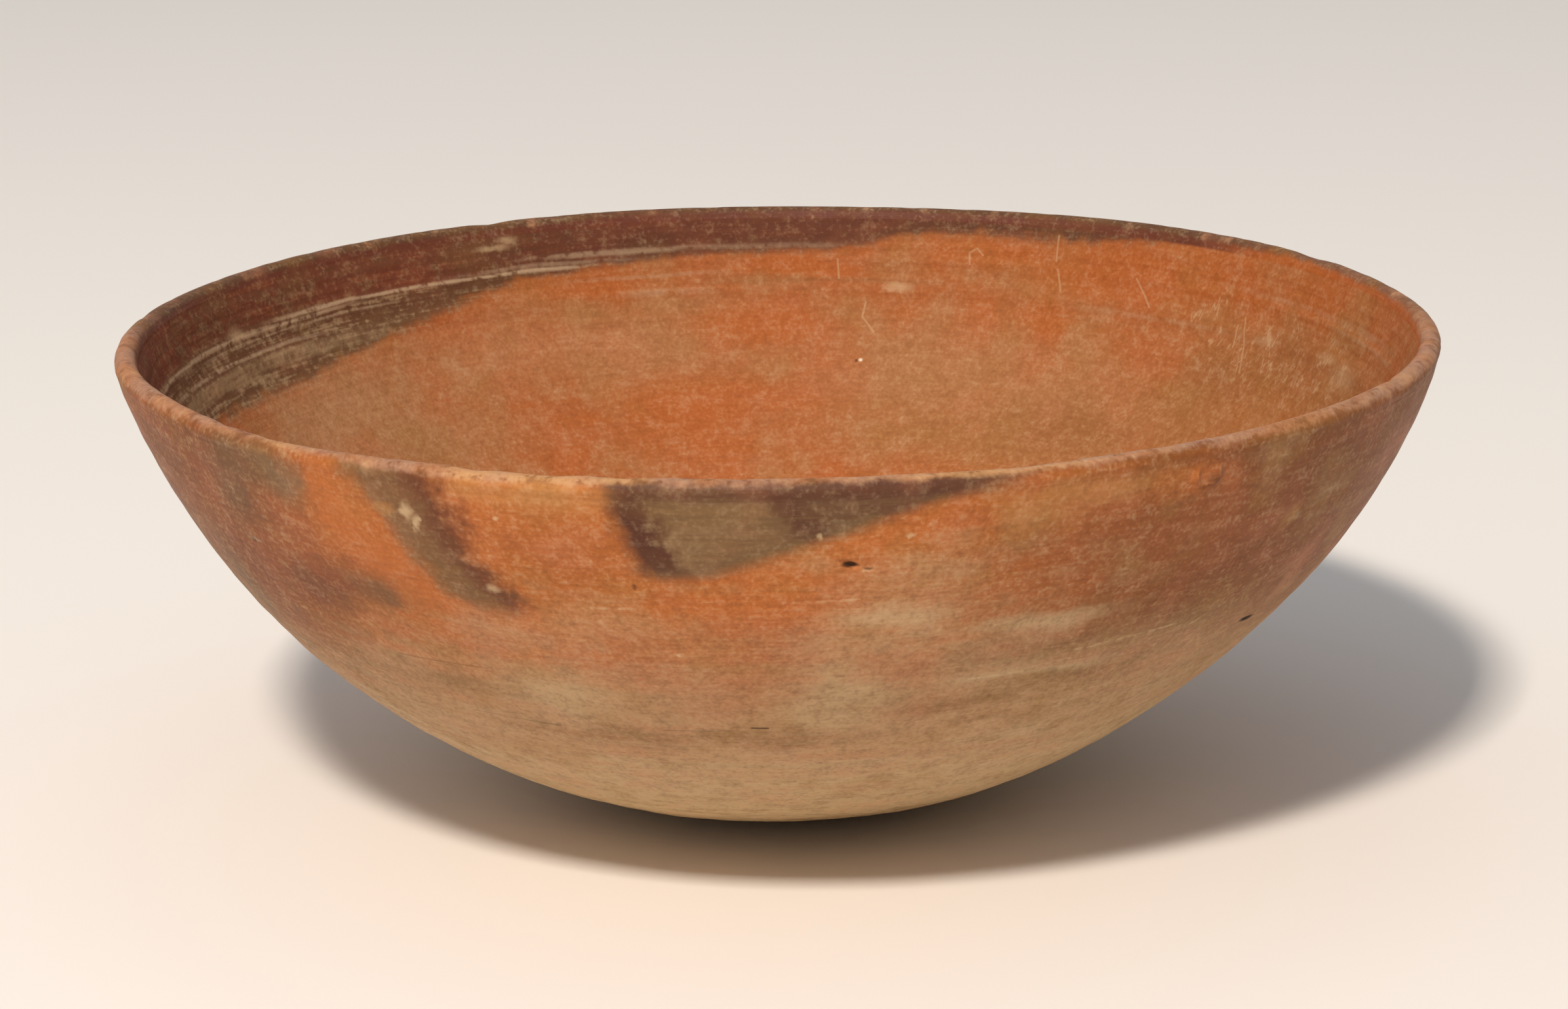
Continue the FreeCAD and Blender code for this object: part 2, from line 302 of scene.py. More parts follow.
def hand_shape(point, section):
    """How far the maker's hand left a point from the true form, in metres, outwards and upwards."""
    place = point / MM
    radius = math.hypot(place.x, place.y)
    bearing = math.degrees(math.atan2(place.x, -place.y))
    centre = section.outer.centre / MM
    angle = math.atan2(radius, centre - place.z)
    free = soft_step(radius, FREE_FROM, FREE_TO)
    rim = soft_step(place.z, RIM_FROM, RIM_TO)
    lip = soft_step(place.z, LIP_FROM, LIP_TO)
    along = angle * section.outer.radius / MM

    swell = -OVAL_DEPTH * rim * (1 - math.cos(2 * math.radians(bearing - 90)))
    swell += LUMP_DEPTH * noise.noise(place / LUMP_SIZE)
    swell += FACET_DEPTH * noise.noise(place / FACET_SIZE)
    swell += ROUGH_DEPTH * noise.noise(place / ROUGH_SIZE)
    swell += STROKE_DEPTH * noise.noise(Vector((place.x / STROKE_LENGTH, place.y / STROKE_LENGTH,
                                                along / STROKE_WIDTH)))
    swell -= RIM_INWARDS * rim
    for dent in BODY_DENTS:
        swell -= (dent.depth * bump(turn_from(dent.bearing, bearing), dent.half_turn)
                  * bump(place.z - dent.height, dent.half_height))

    lift = 0.0
    if rim > 0:
        lift = -RIM_DOWN * rim
        for dip_bearing, half_turn, depth in LIP_DIPS:
            lift -= depth * rim * bump(turn_from(dip_bearing, bearing), half_turn)
    if lip > 0:
        for chip_bearing, half_turn, depth in LIP_CHIPS:
            lift -= depth * lip * bump(turn_from(chip_bearing, bearing), half_turn)
        lift -= NIBBLE_DEPTH * lip * max(0.0, noise.noise(place / NIBBLE_SIZE))

    outwards = Vector((place.x, place.y, place.z - centre)).normalized()
    return (outwards * swell * free + Vector((0, 0, lift * free))) * MM


def shape_by_hand(mesh, section):
    """Moves a piece's points from the true form to the hand-made one."""
    for vert in mesh.verts:
        vert.co += hand_shape(vert.co, section)
        vert.co.z = max(vert.co.z, 0.0)


# ---------------------------------------------------------------- marks in the skins

# A depth below zero stands out from the wall.
Nick = namedtuple("Nick", "bearing height half_run half_rise lean depth")
OUTER_NICKS = (Nick(5.4, 91.2, 2.0, 0.75, -24, 0.8), Nick(6.9, 90.0, 1.0, 0.4, -10, 0.3),
               Nick(53.4, 59.2, 3.4, 0.5, -4, 0.7), Nick(-11.9, 86.0, 0.5, 0.9, 10, 0.3),
               Nick(-52.6, 83.0, 1.6, 0.6, 18, 0.3), Nick(150, 72, 2.0, 0.6, 15, 0.6),
               Nick(-128, 55, 1.4, 0.7, -20, 0.5))
NICK_PATCH, NICK_CUTS = 5.0, 3
BLISTER = Nick(35.6, 103.2, 3.0, 3.8, 0, -0.85)
BLISTER_WALL, BLISTER_FLOOR = 0.9, 0.16
# The ring is broken below one height from its middle and whole above another, and a share of it remains.
BLISTER_BROKEN, BLISTER_WHOLE, BLISTER_REMAINS = -3.0, 0.5, 0.3
RILLS = ((97.0, 0.75, 0.24), (100.7, 0.6, 0.16), (90.0, 1.6, 0.26), (93.6, 0.9, -0.12), (87.0, 0.9, -0.14),
         (103.6, 1.2, 0.10))
RILL_DRIFT, RILL_LENGTH = 0.5, 60.0
# The rills' strength comes from another layer of the noise than their drift.
RILL_STRENGTH, RILL_CHANGE, RILL_LAYER = 0.75, 0.5, 40


def wall_radius(wall, height):
    """Radius of a wall at a height."""
    return math.sqrt(wall.radius ** 2 - (wall.centre - height) ** 2)


def wall_point(wall, bearing, height):
    """The point of a wall at a bearing from the front and a height in millimetres."""
    turn = math.radians(bearing)
    radius = wall_radius(wall, height * MM)
    return Vector((math.sin(turn) * radius, -math.cos(turn) * radius, height * MM))


def on_wall(point, wall):
    """Whether a point lies on a wall, or within a coat of it."""
    return abs((point - Vector((0, 0, wall.centre))).length - wall.radius) < MM


def run_and_rise(point, bearing, height, wall):
    """Millimetres along the wall from a place on it, to the right and up the wall."""
    here = math.degrees(math.atan2(point.x, -point.y))
    radius = wall_radius(wall, height * MM)
    run = math.radians(turn_from(bearing, here)) * radius
    rise = (point.z - height * MM) * wall.radius / radius
    return run / MM, rise / MM


def nick_depth(point, nick, wall):
    """Depth in millimetres of one nick at a point."""
    run, rise = run_and_rise(point, nick.bearing, nick.height, wall)
    lean = math.radians(nick.lean)
    length_way = (run * math.cos(lean) + rise * math.sin(lean)) / nick.half_run
    width_way = (rise * math.cos(lean) - run * math.sin(lean)) / nick.half_rise
    return nick.depth * math.exp(-(length_way ** 2 + width_way ** 2) ** 1.5)


def blister_height(point, wall):
    """Height in millimetres of the blister at a point: a ring with its foot broken away and a sunk floor."""
    run, rise = run_and_rise(point, BLISTER.bearing, BLISTER.height, wall)
    reach = math.hypot(run / BLISTER.half_run, rise / BLISTER.half_rise)
    ring = bump((reach - 1) * BLISTER.half_run, BLISTER_WALL)
    whole = BLISTER_REMAINS + (1 - BLISTER_REMAINS) * soft_step(rise, BLISTER_BROKEN, BLISTER_WHOLE)
    return -BLISTER.depth * ring * whole - BLISTER_FLOOR * soft_step(reach, 1.0, 0.6)


def refine_near(mesh, mark, wall):
    """Divides the faces of a skin near a mark, so that the mark has room for its shape."""
    place = wall_point(wall, mark.bearing, mark.height)
    near = [vert for vert in mesh.verts
            if (vert.co - place).length < NICK_PATCH * MM and on_wall(vert.co, wall)]
    edges = list({edge for vert in near for edge in vert.link_edges})
    bmesh.ops.subdivide_edges(mesh, edges=edges, cuts=NICK_CUTS, use_grid_fill=True)
    bmesh.ops.triangulate(mesh, faces=[face for face in mesh.faces if len(face.verts) > 4])


def rill_height(point):
    """Height in millimetres of the smoothing rills that run round inside, below the lip."""
    place = point / MM
    drift = RILL_DRIFT * noise.noise(Vector((place.x, place.y, 0)) / RILL_LENGTH)
    change = noise.noise(Vector((place.x, place.y, RILL_LAYER)) / (RILL_LENGTH / 2))
    strength = RILL_STRENGTH + RILL_CHANGE * change
    return strength * sum(height * bump(place.z - drift - level, width) for level, width, height in RILLS)


# ---------------------------------------------------------------- pieces

FINE, MIDDLE, COARSE = 1.1 * MM, 1.8 * MM, 4.5 * MM
RILL_STEP, LIP_STEP = 0.55 * MM, 0.42 * MM
RILLS_FROM, RILLS_TO = 84.0 * MM, 105.5 * MM
EDGE_ANGLE = math.radians(4)
FOOT_REACH, TOP_REACH = 18.0 * MM, 4.0 * MM
SHARP_EDGE = math.radians(35)
CLAY_SPREAD, COAT_SPREAD = 1.35, 1.18


def on_circle(wall, radius, angle):
    """Radius and height of a point at an angle up from straight down, on a circle about a wall's middle."""
    return radius * math.sin(angle), wall.centre - radius * math.cos(angle)


def clay_mesh(sizes, section):
    """The clay: flat, outer wall, rounded lip and inner wall, as one closed shell."""
    mesh = bmesh.new()
    pen = Pen(mesh, 0, 0)
    pen.line(section.flat_edge.radius, 0, MIDDLE)
    pen.arc((section.flat_edge.radius, section.flat_edge.height), section.edge_angle, FINE)
    middle = (0, section.outer.centre)
    pen.arc(middle, section.slip_foot + EDGE_ANGLE - section.edge_angle, MIDDLE)
    pen.arc(middle, section.slip_top - 2 * EDGE_ANGLE - section.slip_foot, COARSE)
    pen.arc(middle, EDGE_ANGLE + section.outer_top - section.slip_top, FINE)
    over_lip = math.pi - section.outer_top + section.inner_top
    pen.arc((section.lip.radius, section.lip.height), over_lip, LIP_STEP)
    middle = (0, section.inner.centre)
    pen.arc(middle, section.hollow_top - EDGE_ANGLE - section.inner_top, FINE)
    pen.arc(middle, EDGE_ANGLE - section.hollow_top, COARSE)
    spin_round(mesh, sizes.steps_round)
    return mesh


def inner_slip_mesh(sizes, section):
    """The coat inside, closed over its face on the clay."""
    mesh = bmesh.new()
    wall = section.inner
    radius = wall.radius - sizes.inner_slip
    middle = (0, wall.centre)
    rills_from, rills_to = [math.acos((wall.centre - height) / radius) for height in (RILLS_FROM, RILLS_TO)]
    pen = Pen(mesh, *on_circle(wall, radius, 0))
    pen.arc(middle, rills_from, MIDDLE)
    pen.arc(middle, rills_to - rills_from, RILL_STEP)
    pen.arc(middle, section.hollow_top - rills_to, LIP_STEP)
    pen.line(*on_circle(wall, wall.radius, section.hollow_top), FINE)
    pen.arc(middle, -EDGE_ANGLE, FINE)
    pen.arc(middle, EDGE_ANGLE - section.hollow_top, COARSE)
    spin_round(mesh, sizes.steps_round)
    return mesh


def outer_slip_mesh(sizes, section):
    """The coat outside, from its worn foot to just under the lip, closed over its face on the clay."""
    mesh = bmesh.new()
    wall = section.outer
    radius = wall.radius + sizes.outer_slip
    middle = (0, wall.centre)
    pen = Pen(mesh, *on_circle(wall, radius, section.slip_foot))
    pen.arc(middle, section.slip_top - EDGE_ANGLE - section.slip_foot, FINE)
    pen.arc(middle, EDGE_ANGLE, LIP_STEP)
    pen.line(*on_circle(wall, wall.radius, section.slip_top), FINE)
    pen.arc(middle, -EDGE_ANGLE, FINE)
    pen.arc(middle, section.slip_foot + 2 * EDGE_ANGLE - section.slip_top, COARSE)
    pen.arc(middle, -EDGE_ANGLE, FINE)
    pen.line(*on_circle(wall, radius, section.slip_foot), FINE)
    spin_round(mesh, sizes.steps_round)
    return mesh


def outwards_from(wall, point):
    """Direction from the middle of a wall's circle to a point."""
    return (point - Vector((0, 0, wall.centre))).normalized()


def skin_share(point, wall, thickness, side):
    """0 on a coat's face against the clay and 1 on its skin. The side is 1 outside and -1 inside."""
    reach = (point - Vector((0, 0, wall.centre))).length
    return min(1.0, max(0.0, side * (reach - wall.radius) / thickness))


def feather_edges(mesh, wall, thickness, keep, side, edges):
    """Thins a coat towards its edges. Each edge is an angle and how far the thinning reaches from it."""
    for vert in mesh.verts:
        angle = math.atan2(math.hypot(vert.co.x, vert.co.y), wall.centre - vert.co.z)
        full = math.prod(soft_step(abs(angle - edge) * wall.radius, 0.0, reach) for edge, reach in edges)
        thinner = (thickness - keep) * (1 - full) * skin_share(vert.co, wall, thickness, side)
        vert.co -= outwards_from(wall, vert.co) * side * thinner


def cut_nicks(mesh, wall, thickness, under):
    """Presses the nicks in. Below the skin they are larger by a share, so that the skin stays above the
    clay."""
    for nick in OUTER_NICKS:
        middle = wall_point(wall, nick.bearing, nick.height)
        for vert in mesh.verts:
            if (vert.co - middle).length > 2 * NICK_PATCH * MM or not on_wall(vert.co, wall):
                continue
            skin = skin_share(vert.co, wall, thickness, 1)
            larger = skin + under * (1 - skin)
            deeper = nick._replace(half_run=nick.half_run * larger, half_rise=nick.half_rise * larger,
                                   depth=nick.depth * larger)
            vert.co -= outwards_from(wall, vert.co) * nick_depth(vert.co, deeper, wall) * MM


def raise_blister(mesh, wall, thickness):
    """Lifts the blister's broken ring from the skin outside."""
    middle = wall_point(wall, BLISTER.bearing, BLISTER.height)
    for vert in mesh.verts:
        if (vert.co - middle).length < 2 * NICK_PATCH * MM:
            height = blister_height(vert.co, wall) * skin_share(vert.co, wall, thickness, 1)
            vert.co += outwards_from(wall, vert.co) * height * MM


def raise_rills(mesh, wall, thickness):
    """Lifts and sinks the rills in the skin inside."""
    for vert in mesh.verts:
        if RILLS_FROM < vert.co.z < RILLS_TO:
            height = rill_height(vert.co) * skin_share(vert.co, wall, thickness, -1)
            vert.co -= outwards_from(wall, vert.co) * height * MM


# ---------------------------------------------------------------- mixing a material

class Value:
    """A value that varies over a surface. Arithmetic on it adds Math nodes."""

    def __init__(self, paint, socket):
        self.paint = paint
        self.socket = socket

    def __add__(self, other):
        return self.paint.maths("ADD", self, other)

    def __sub__(self, other):
        return self.paint.maths("SUBTRACT", self, other)

    def __rsub__(self, other):
        return self.paint.maths("SUBTRACT", other, self)

    def __mul__(self, other):
        return self.paint.maths("MULTIPLY", self, other)

    def __truediv__(self, other):
        return self.paint.maths("DIVIDE", self, other)

    def __pow__(self, other):
        return self.paint.maths("POWER", self, other)

    def __abs__(self):
        return self.paint.maths("ABSOLUTE", self)

    __radd__ = __add__
    __rmul__ = __mul__


class Paint:
    """The node tree of one material, and the ways of adding to it."""

    def __init__(self, tree):
        self.tree = tree
        tree.nodes.clear()

    def node(self, kind, settings=None, sockets=(), output=None):
        """Adds a node: its settings first, then the values or links of its sockets, by name or in order."""
        made = self.tree.nodes.new(kind)
        for name, setting in (settings or {}).items():
            if name == "points":
                self.draw_curve(made.mapping, setting)
            else:
                setattr(made, name, setting)
        usable = [socket for socket in made.inputs if socket.enabled]
        if isinstance(sockets, dict):
            by_name = {socket.name: socket for socket in reversed(usable)}
            pairs = [(by_name[name], value) for name, value in sockets.items()]
        else:
            pairs = list(zip(usable, sockets))
        for socket, value in pairs:
            self.feed(socket, value)
        outputs = [socket for socket in made.outputs if socket.enabled]
        if output is None:
            return Value(self, outputs[0]) if outputs else None
        if isinstance(output, tuple):
            return [Value(self, made.outputs[name]) for name in output]
        return Value(self, made.outputs[output])

    def draw_curve(self, mapping, points):
        """Gives a curve its points, from 0 to 1 both ways."""
        curve = mapping.curves[0]
        curve.points[0].location = points[0]
        curve.points[1].location = points[-1]
        for across, up in points[1:-1]:
            curve.points.new(across, up)
        for point in curve.points:
            point.handle_type = "AUTO_CLAMPED"
        mapping.update()

    def feed(self, socket, value):
        """Links a value to a socket, or sets the socket."""
        if isinstance(value, Value):
            self.tree.links.new(value.socket, socket)
        elif socket.type == "RGBA":
            socket.default_value = (*value, 1.0)
        else:
            socket.default_value = value

    def maths(self, operation, *values):
        """A sum on values."""
        return self.node("ShaderNodeMath", {"operation": operation}, values)

    def vectors(self, operation, *values, output="Vector"):
        """A sum on vectors."""
        return self.node("ShaderNodeVectorMath", {"operation": operation}, values, output)

    def vector(self, across, deep, up):
        """A vector from three values."""
        return self.node("ShaderNodeCombineXYZ", None, (across, deep, up))

    def rise(self, value, low, high):
        """0 at low, 1 at high and an S between them. Low may be the larger of the two."""
        return self.node("ShaderNodeMapRange", {"interpolation_type": "SMOOTHSTEP"},
                         {"Value": value, "From Min": low, "From Max": high})

    def plateau(self, value, start, full, fade, end):
        """0 up to start, 1 from full to fade and 0 from end on, with an S at each side."""
        return self.rise(value, start, full) * self.rise(value, end, fade)

    def curve(self, value, points):
        """Follows a line through points (value, result), level beyond its ends."""
        across = [point[0] for point in points]
        up = [point[1] for point in points]
        low, high = min(up), max(up)
        share = self.node("ShaderNodeMapRange", None,
                          {"Value": value, "From Min": across[0], "From Max": across[-1]})
        even = [((x - across[0]) / (across[-1] - across[0]), (y - low) / (high - low))
                for x, y in zip(across, up)]
        drawn = self.node("ShaderNodeFloatCurve", {"points": even}, {"Value": share})
        return drawn * (high - low) + low

    def blend(self, share, first, second, mode="MIX"):
        """One colour over another, by a share from 0 to 1."""
        return self.node("ShaderNodeMix", {"data_type": "RGBA", "blend_type": mode},
                         {"Factor": share, "A": first, "B": second})

    def mottle(self, spot, size, detail=2.0):
        """Soft blotches from -0.5 to 0.5, of about that size in the spot's units."""
        made = self.node("ShaderNodeTexNoise", None, {"Vector": spot, "Scale": 1 / size, "Detail": detail})
        return made - 0.5

    def most(self, values):
        """The largest of several values."""
        return reduce(lambda first, second: self.maths("MAXIMUM", second, first), values)

    def finish(self, tone, roughness, relief, settings):
        """Ends the material with its surface. The relief is in millimetres."""
        normal = self.node("ShaderNodeBump", None, {"Height": relief, "Distance": MM, "Strength": 1.0})
        shader = self.node("ShaderNodeBsdfPrincipled", None,
                           {"Base Color": tone, "Roughness": roughness, "Normal": normal, **settings})
        self.node("ShaderNodeOutputMaterial", None, {"Surface": shader})


Place = namedtuple("Place", "spot x y radius bearing height along chart")


def wall_place(paint, wall, inside):
    """Where a point is on a wall. Bearings start at the front outside and at the back inside, and grow to
    the right; lengths are in millimetres, and along runs up the wall from the middle of the bottom."""
    source = paint.node("ShaderNodeTexCoord", output="Object")
    spot = paint.vectors("SCALE", source, 1 / MM)
    x, y, height = paint.node("ShaderNodeSeparateXYZ", None, (spot,), ("X", "Y", "Z"))
    facing = y if inside else 0 - y
    bearing = paint.maths("ARCTAN2", x, facing) * math.degrees(1)
    radius = (x * x + y * y) ** 0.5
    along = paint.maths("ARCTAN2", radius, wall.centre / MM - height) * (wall.radius / MM)
    return Place(spot, x, y, radius, bearing, height, along, paint.vector(bearing, height, 0.0))


def strokes(paint, place, run, width, detail=2.0):
    """Blotches drawn out along the wall, as a burnishing stone leaves them."""
    return paint.mottle(paint.vector(place.x / run, place.y / run, place.along / width), 1.0, detail)


Blot = namedtuple("Blot", "bearing height half_turn half_height edge")


def blot(paint, chart, spot):
    """1 inside a soft oval on the chart and 0 outside it."""
    scale = (1 / spot.half_turn, 1 / spot.half_height, 0)
    offset = (-spot.bearing / spot.half_turn, -spot.height / spot.half_height, 0)
    reach = paint.vectors("LENGTH", paint.vectors("MULTIPLY_ADD", chart, scale, offset), output="Value")
    return paint.rise(reach, 1 + spot.edge, 1 - spot.edge)


def blots(paint, chart, spots):
    """1 inside any of several soft ovals."""
    return paint.most(blot(paint, chart, spot) for spot in spots)


def line_mark(paint, place, start, end, half_width, wall):
    """1 on a line between two places (bearing, height) and 0 beside it. The width is in millimetres."""
    middle = (start[1] + end[1]) / 2 * MM
    radius = wall_radius(wall, middle)
    scale = Vector((math.radians(1) * radius / MM, wall.radius / radius, 0))
    first = Vector((start[0] * scale.x, start[1] * scale.y, 0))
    way = Vector((end[0] * scale.x, end[1] * scale.y, 0)) - first
    local = paint.vectors("MULTIPLY_ADD", place.chart, scale, -first)
    share = paint.vectors("DOT_PRODUCT", local, way / way.length_squared, output="Value")
    share = paint.node("ShaderNodeClamp", None, (share,))
    nearest = paint.vectors("SCALE", tuple(way), share)
    away = paint.vectors("DISTANCE", local, nearest, output="Value")
    return paint.rise(away, 1.5 * half_width, 0.5 * half_width)


# ---------------------------------------------------------------- what the finishes share

Texture = namedtuple("Texture", "patch mid speck grain smear strand wild loose fleck")
Wash = namedtuple("Wash", "colour share blots")
PATCH_SIZE, MID_SIZE, SPECK_SIZE, GRAIN_SIZE = 16, 5.5, 1.9, 0.85
# A smear and a strand each have a run round the wall and a width up it.
SMEAR_SIZE, STRAND_SIZE = (38, 3.8), (15, 1.0)
WILD_PUSH = (3.4, 2.2, 0)
DUST, DIRT, DOTS = 0.9, 1.15, 0.10


def wall_texture(paint, place, turn, climb):
    """The noises that roughen a wall's finish, and its chart pushed about by them: a little for flecks, by
    shares of a turn and a climb for most clouds and washes, and wildly for the clouds at the back."""
    patch = paint.mottle(place.spot, PATCH_SIZE, detail=4)
    mid = paint.mottle(place.spot, MID_SIZE, detail=4)
    speck = paint.mottle(place.spot, SPECK_SIZE, detail=3)
    grain = paint.mottle(place.spot, GRAIN_SIZE, detail=2)
    smear = strokes(paint, place, *SMEAR_SIZE, detail=4)
    strand = strokes(paint, place, *STRAND_SIZE, detail=3)
    far = paint.vector(patch * turn + mid * (turn / 4), smear * (climb / 4) - patch * climb, 0.0)
    near = paint.vector(mid * 1.6 + speck * 0.9, speck * 2.2, 0.0)
    wild = paint.vectors("MULTIPLY_ADD", far, WILD_PUSH, place.chart)
    return Texture(patch, mid, speck, grain, smear, strand, wild, paint.vectors("ADD", place.chart, far),
                   paint.vectors("ADD", place.chart, near))


def wash_over(paint, colours, chart, washes, tone):
    """Lays colours over a tone inside soft ovals."""
    for wash in washes:
        cover = blots(paint, chart, wash.blots)
        tone = paint.blend(cover * wash.share, tone, getattr(colours, wash.colour))
    return tone


def weather(paint, colours, texture, tone, amount, blush):
    """Wear all over: slow blushes of pink and olive, pale dust on the high grain, dark dirt in the low grain
    and a few pale dots."""
    hue = texture.mid * 0.6 - texture.patch + texture.smear * 0.4
    tone = paint.blend(hue * blush, tone, colours.pink_clay)
    tone = paint.blend(hue * -blush, tone, colours.olive_clay)
    level = texture.speck * 0.75 + texture.grain * 0.75 + texture.mid * 0.40 + texture.strand * 0.35
    tone = paint.blend(level * (DUST * amount), tone, colours.chalk)
    tone = paint.blend(level * (-DIRT * amount), tone, colours.grime)
    dots = paint.rise(texture.grain + texture.mid * 0.5, 0.16, 0.32)
    return paint.blend(dots * (DOTS * amount), tone, colours.chalk)


def marks(paint, place, lines, half_width, wall):
    """1 on any of several lines."""
    return paint.most(line_mark(paint, place, start, end, half_width, wall) for start, end in lines)


# ---------------------------------------------------------------- the outside's finish

GREAT_CLOUD_FOOT = ((-16, 87.0), (-11, 87.4), (-6, 89.0), (0, 93.2), (5.0, 97.4), (9.4, 101.6),
                    (13.4, 105.2), (21.0, 109.5))
GREAT_CLOUD_LEFT = ((84, -10.3), (88, -10.9), (97, -12.4), (107, -14.0), (110, -14.4))
STROKE_MIDDLE = ((76, -24.4), (79, -25.2), (84.2, -27.0), (92, -28.9), (99, -30.0), (107.7, -32.0))
STROKE_HALF = ((75.5, 0.0), (78, 2.8), (84.2, 3.5), (92, 3.1), (99, 3.6), (107.7, 4.8))
CLOUD_STREAK, STREAK_LEAN = Blot(2.0, 102, 1.6, 8, 0.6), 0.36
# Share of the darker brown by bearing, most on the right: partly duller slip and partly painted shade on the
# side turned from the light.
BROWN_AND_SHADE_SHARE = ((-180, 0.35), (-110, 0.35), (-75, 0.5), (-60, 0.6), (-46, 0.55), (-38, 0.1), (-20, 0.0),
               (4, 0.05), (14, 0.2), (26, 0.6), (45, 1.0), (75, 1.0), (110, 0.4), (180, 0.35))
BUFF_EDGE = ((-180, 58), (-120, 60), (-75, 56), (-55, 56), (-40, 63), (-20, 67), (0, 69), (12, 75),
             (28, 66), (50, 60), (80, 58), (120, 64), (180, 58))
SLIP_WASHES = (
    Wash("buff_clay", 0.38, (
        Blot(10.5, 85, 6, 8, 0.7), Blot(4.5, 62, 5, 9, 0.7), Blot(22, 73, 6, 2, 0.8),
        Blot(-26, 72, 4, 4, 0.6), Blot(-15, 76, 6, 4, 0.7), Blot(34, 63, 12, 4, 0.6),
        Blot(13.5, 96, 2, 3, 0.5), Blot(120, 80, 10, 10, 0.6), Blot(-110, 76, 9, 8, 0.6))),
    Wash("red_slip", 0.42, (
        Blot(-2, 74, 5.5, 5, 0.7), Blot(18, 79, 4, 3.0, 0.7), Blot(28, 90, 5, 8, 0.7),
        Blot(37, 90, 9, 11, 0.7), Blot(-35, 70, 8, 3.2, 0.6), Blot(-50, 80, 10, 12, 0.7),
        Blot(-46, 92, 4, 4, 0.6), Blot(100, 92, 9, 9, 0.7), Blot(-150, 88, 12, 9, 0.7))),
    Wash("bright_slip", 0.65, (
        Blot(-18.5, 95, 5.5, 9, 0.5), Blot(-36.5, 93, 3.4, 10, 0.4), Blot(-4, 84, 9, 4, 0.7),
        Blot(9, 96, 4, 4, 0.7), Blot(-31, 71.5, 5, 2.2, 0.6), Blot(34, 102, 4, 4, 0.6))),
    # These brown washes, mostly on the right, also carry some of that painted shade.
    Wash("brown_slip_and_shade", 0.28, (Blot(-17, 92, 8, 10, 0.8), Blot(26, 92, 8, 7, 0.8))),
    Wash("brown_slip_and_shade", 0.8, (
        Blot(21, 67, 8, 3.5, 0.6), Blot(46, 80, 7, 10, 0.7), Blot(36, 59, 7, 2.5, 0.7))),
)
CLAY_WASHES = (
    Wash("pale_clay", 0.55, (
        Blot(5, 56, 4.5, 8, 0.9), Blot(-22, 55, 5, 6, 0.9), Blot(9, 78, 5, 3, 0.9),
        Blot(24, 73.5, 5, 1.8, 0.9), Blot(20, 60.5, 4, 1.4, 0.8), Blot(28, 60, 5, 1.6, 0.8))),
    Wash("red_slip", 0.4, (Blot(-3, 63, 5, 9, 0.9), Blot(-13, 68, 5, 6, 0.9), Blot(10, 66, 4, 4, 0.9))),
    Wash("drift", 0.55, (
        Blot(25, 66, 6, 2.0, 0.9), Blot(30, 57, 7, 2.6, 0.9), Blot(-17, 46, 8, 2.6, 0.9),
        Blot(16, 54, 7, 2.6, 0.9), Blot(-33, 56, 6, 3, 0.9), Blot(42, 66, 6, 2.4, 0.9),
        Blot(0, 46, 8, 2.2, 0.9), Blot(140, 60, 14, 4, 0.9), Blot(-130, 56, 12, 4, 0.9))),
)
LEFT_CLOUDS = (
    Wash("cloud_dark", 0.34, (
        Blot(-53, 103, 9, 7, 0.8), Blot(-64, 97, 8, 10, 0.9), Blot(-51, 92, 5, 9, 0.9),
        Blot(-56, 77, 8, 13, 0.9), Blot(-72, 84, 8, 15, 0.9), Blot(-46, 77, 5, 7, 0.9))),
    Wash("cloud_dark", 0.36, (Blot(-38.5, 78.5, 5.2, 5.0, 0.8), Blot(-44, 74, 5, 5, 0.9))),
    Wash("cloud_olive", 0.6, (
        Blot(-48.5, 103.5, 6.5, 5.2, 0.6), Blot(-36, 78, 3.5, 3.6, 0.9), Blot(-52, 96, 3.0, 7, 0.9))),
    Wash("bright_slip", 0.7, (
        Blot(-40.4, 102.5, 2.2, 4.5, 0.6), Blot(-38, 95, 2.6, 5.5, 0.6), Blot(-35.2, 87, 2.6, 5.5, 0.6),
        Blot(-32.6, 79.5, 2.6, 4.5, 0.6))),
    Wash("cloud_grey", 0.6, (
        Blot(-43.6, 101, 1.8, 5, 0.7), Blot(-62, 66, 3, 10, 0.9), Blot(-70, 60, 5, 10, 0.9))),
)
BACK_CLOUDS = (
    Wash("cloud_dark", 0.8, (
        Blot(98, 104, 12, 12, 0.4), Blot(144, 106, 16, 9, 0.4), Blot(-146, 100, 9, 15, 0.45),
        Blot(-116, 106, 12, 6, 0.5), Blot(-99, 100, 7, 8, 0.7))),
    Wash("cloud_grey", 0.85, (
        Blot(99, 106, 8, 7, 0.5), Blot(143, 107, 11, 4.5, 0.6), Blot(-147, 103, 5, 9, 0.5))),
)
OUTER_WEAR = (
    Wash("yellow_clay", 0.45, (
        Blot(-18.5, 105.5, 5.5, 3.2, 0.7), Blot(-24.5, 106.5, 2.2, 2.4, 0.6), Blot(20, 100, 3.0, 5, 0.8),
        Blot(24, 104, 6, 2.5, 0.7), Blot(47.8, 88, 1.8, 2.6, 0.7), Blot(-33.2, 99.5, 1.1, 1.6, 0.5))),
)
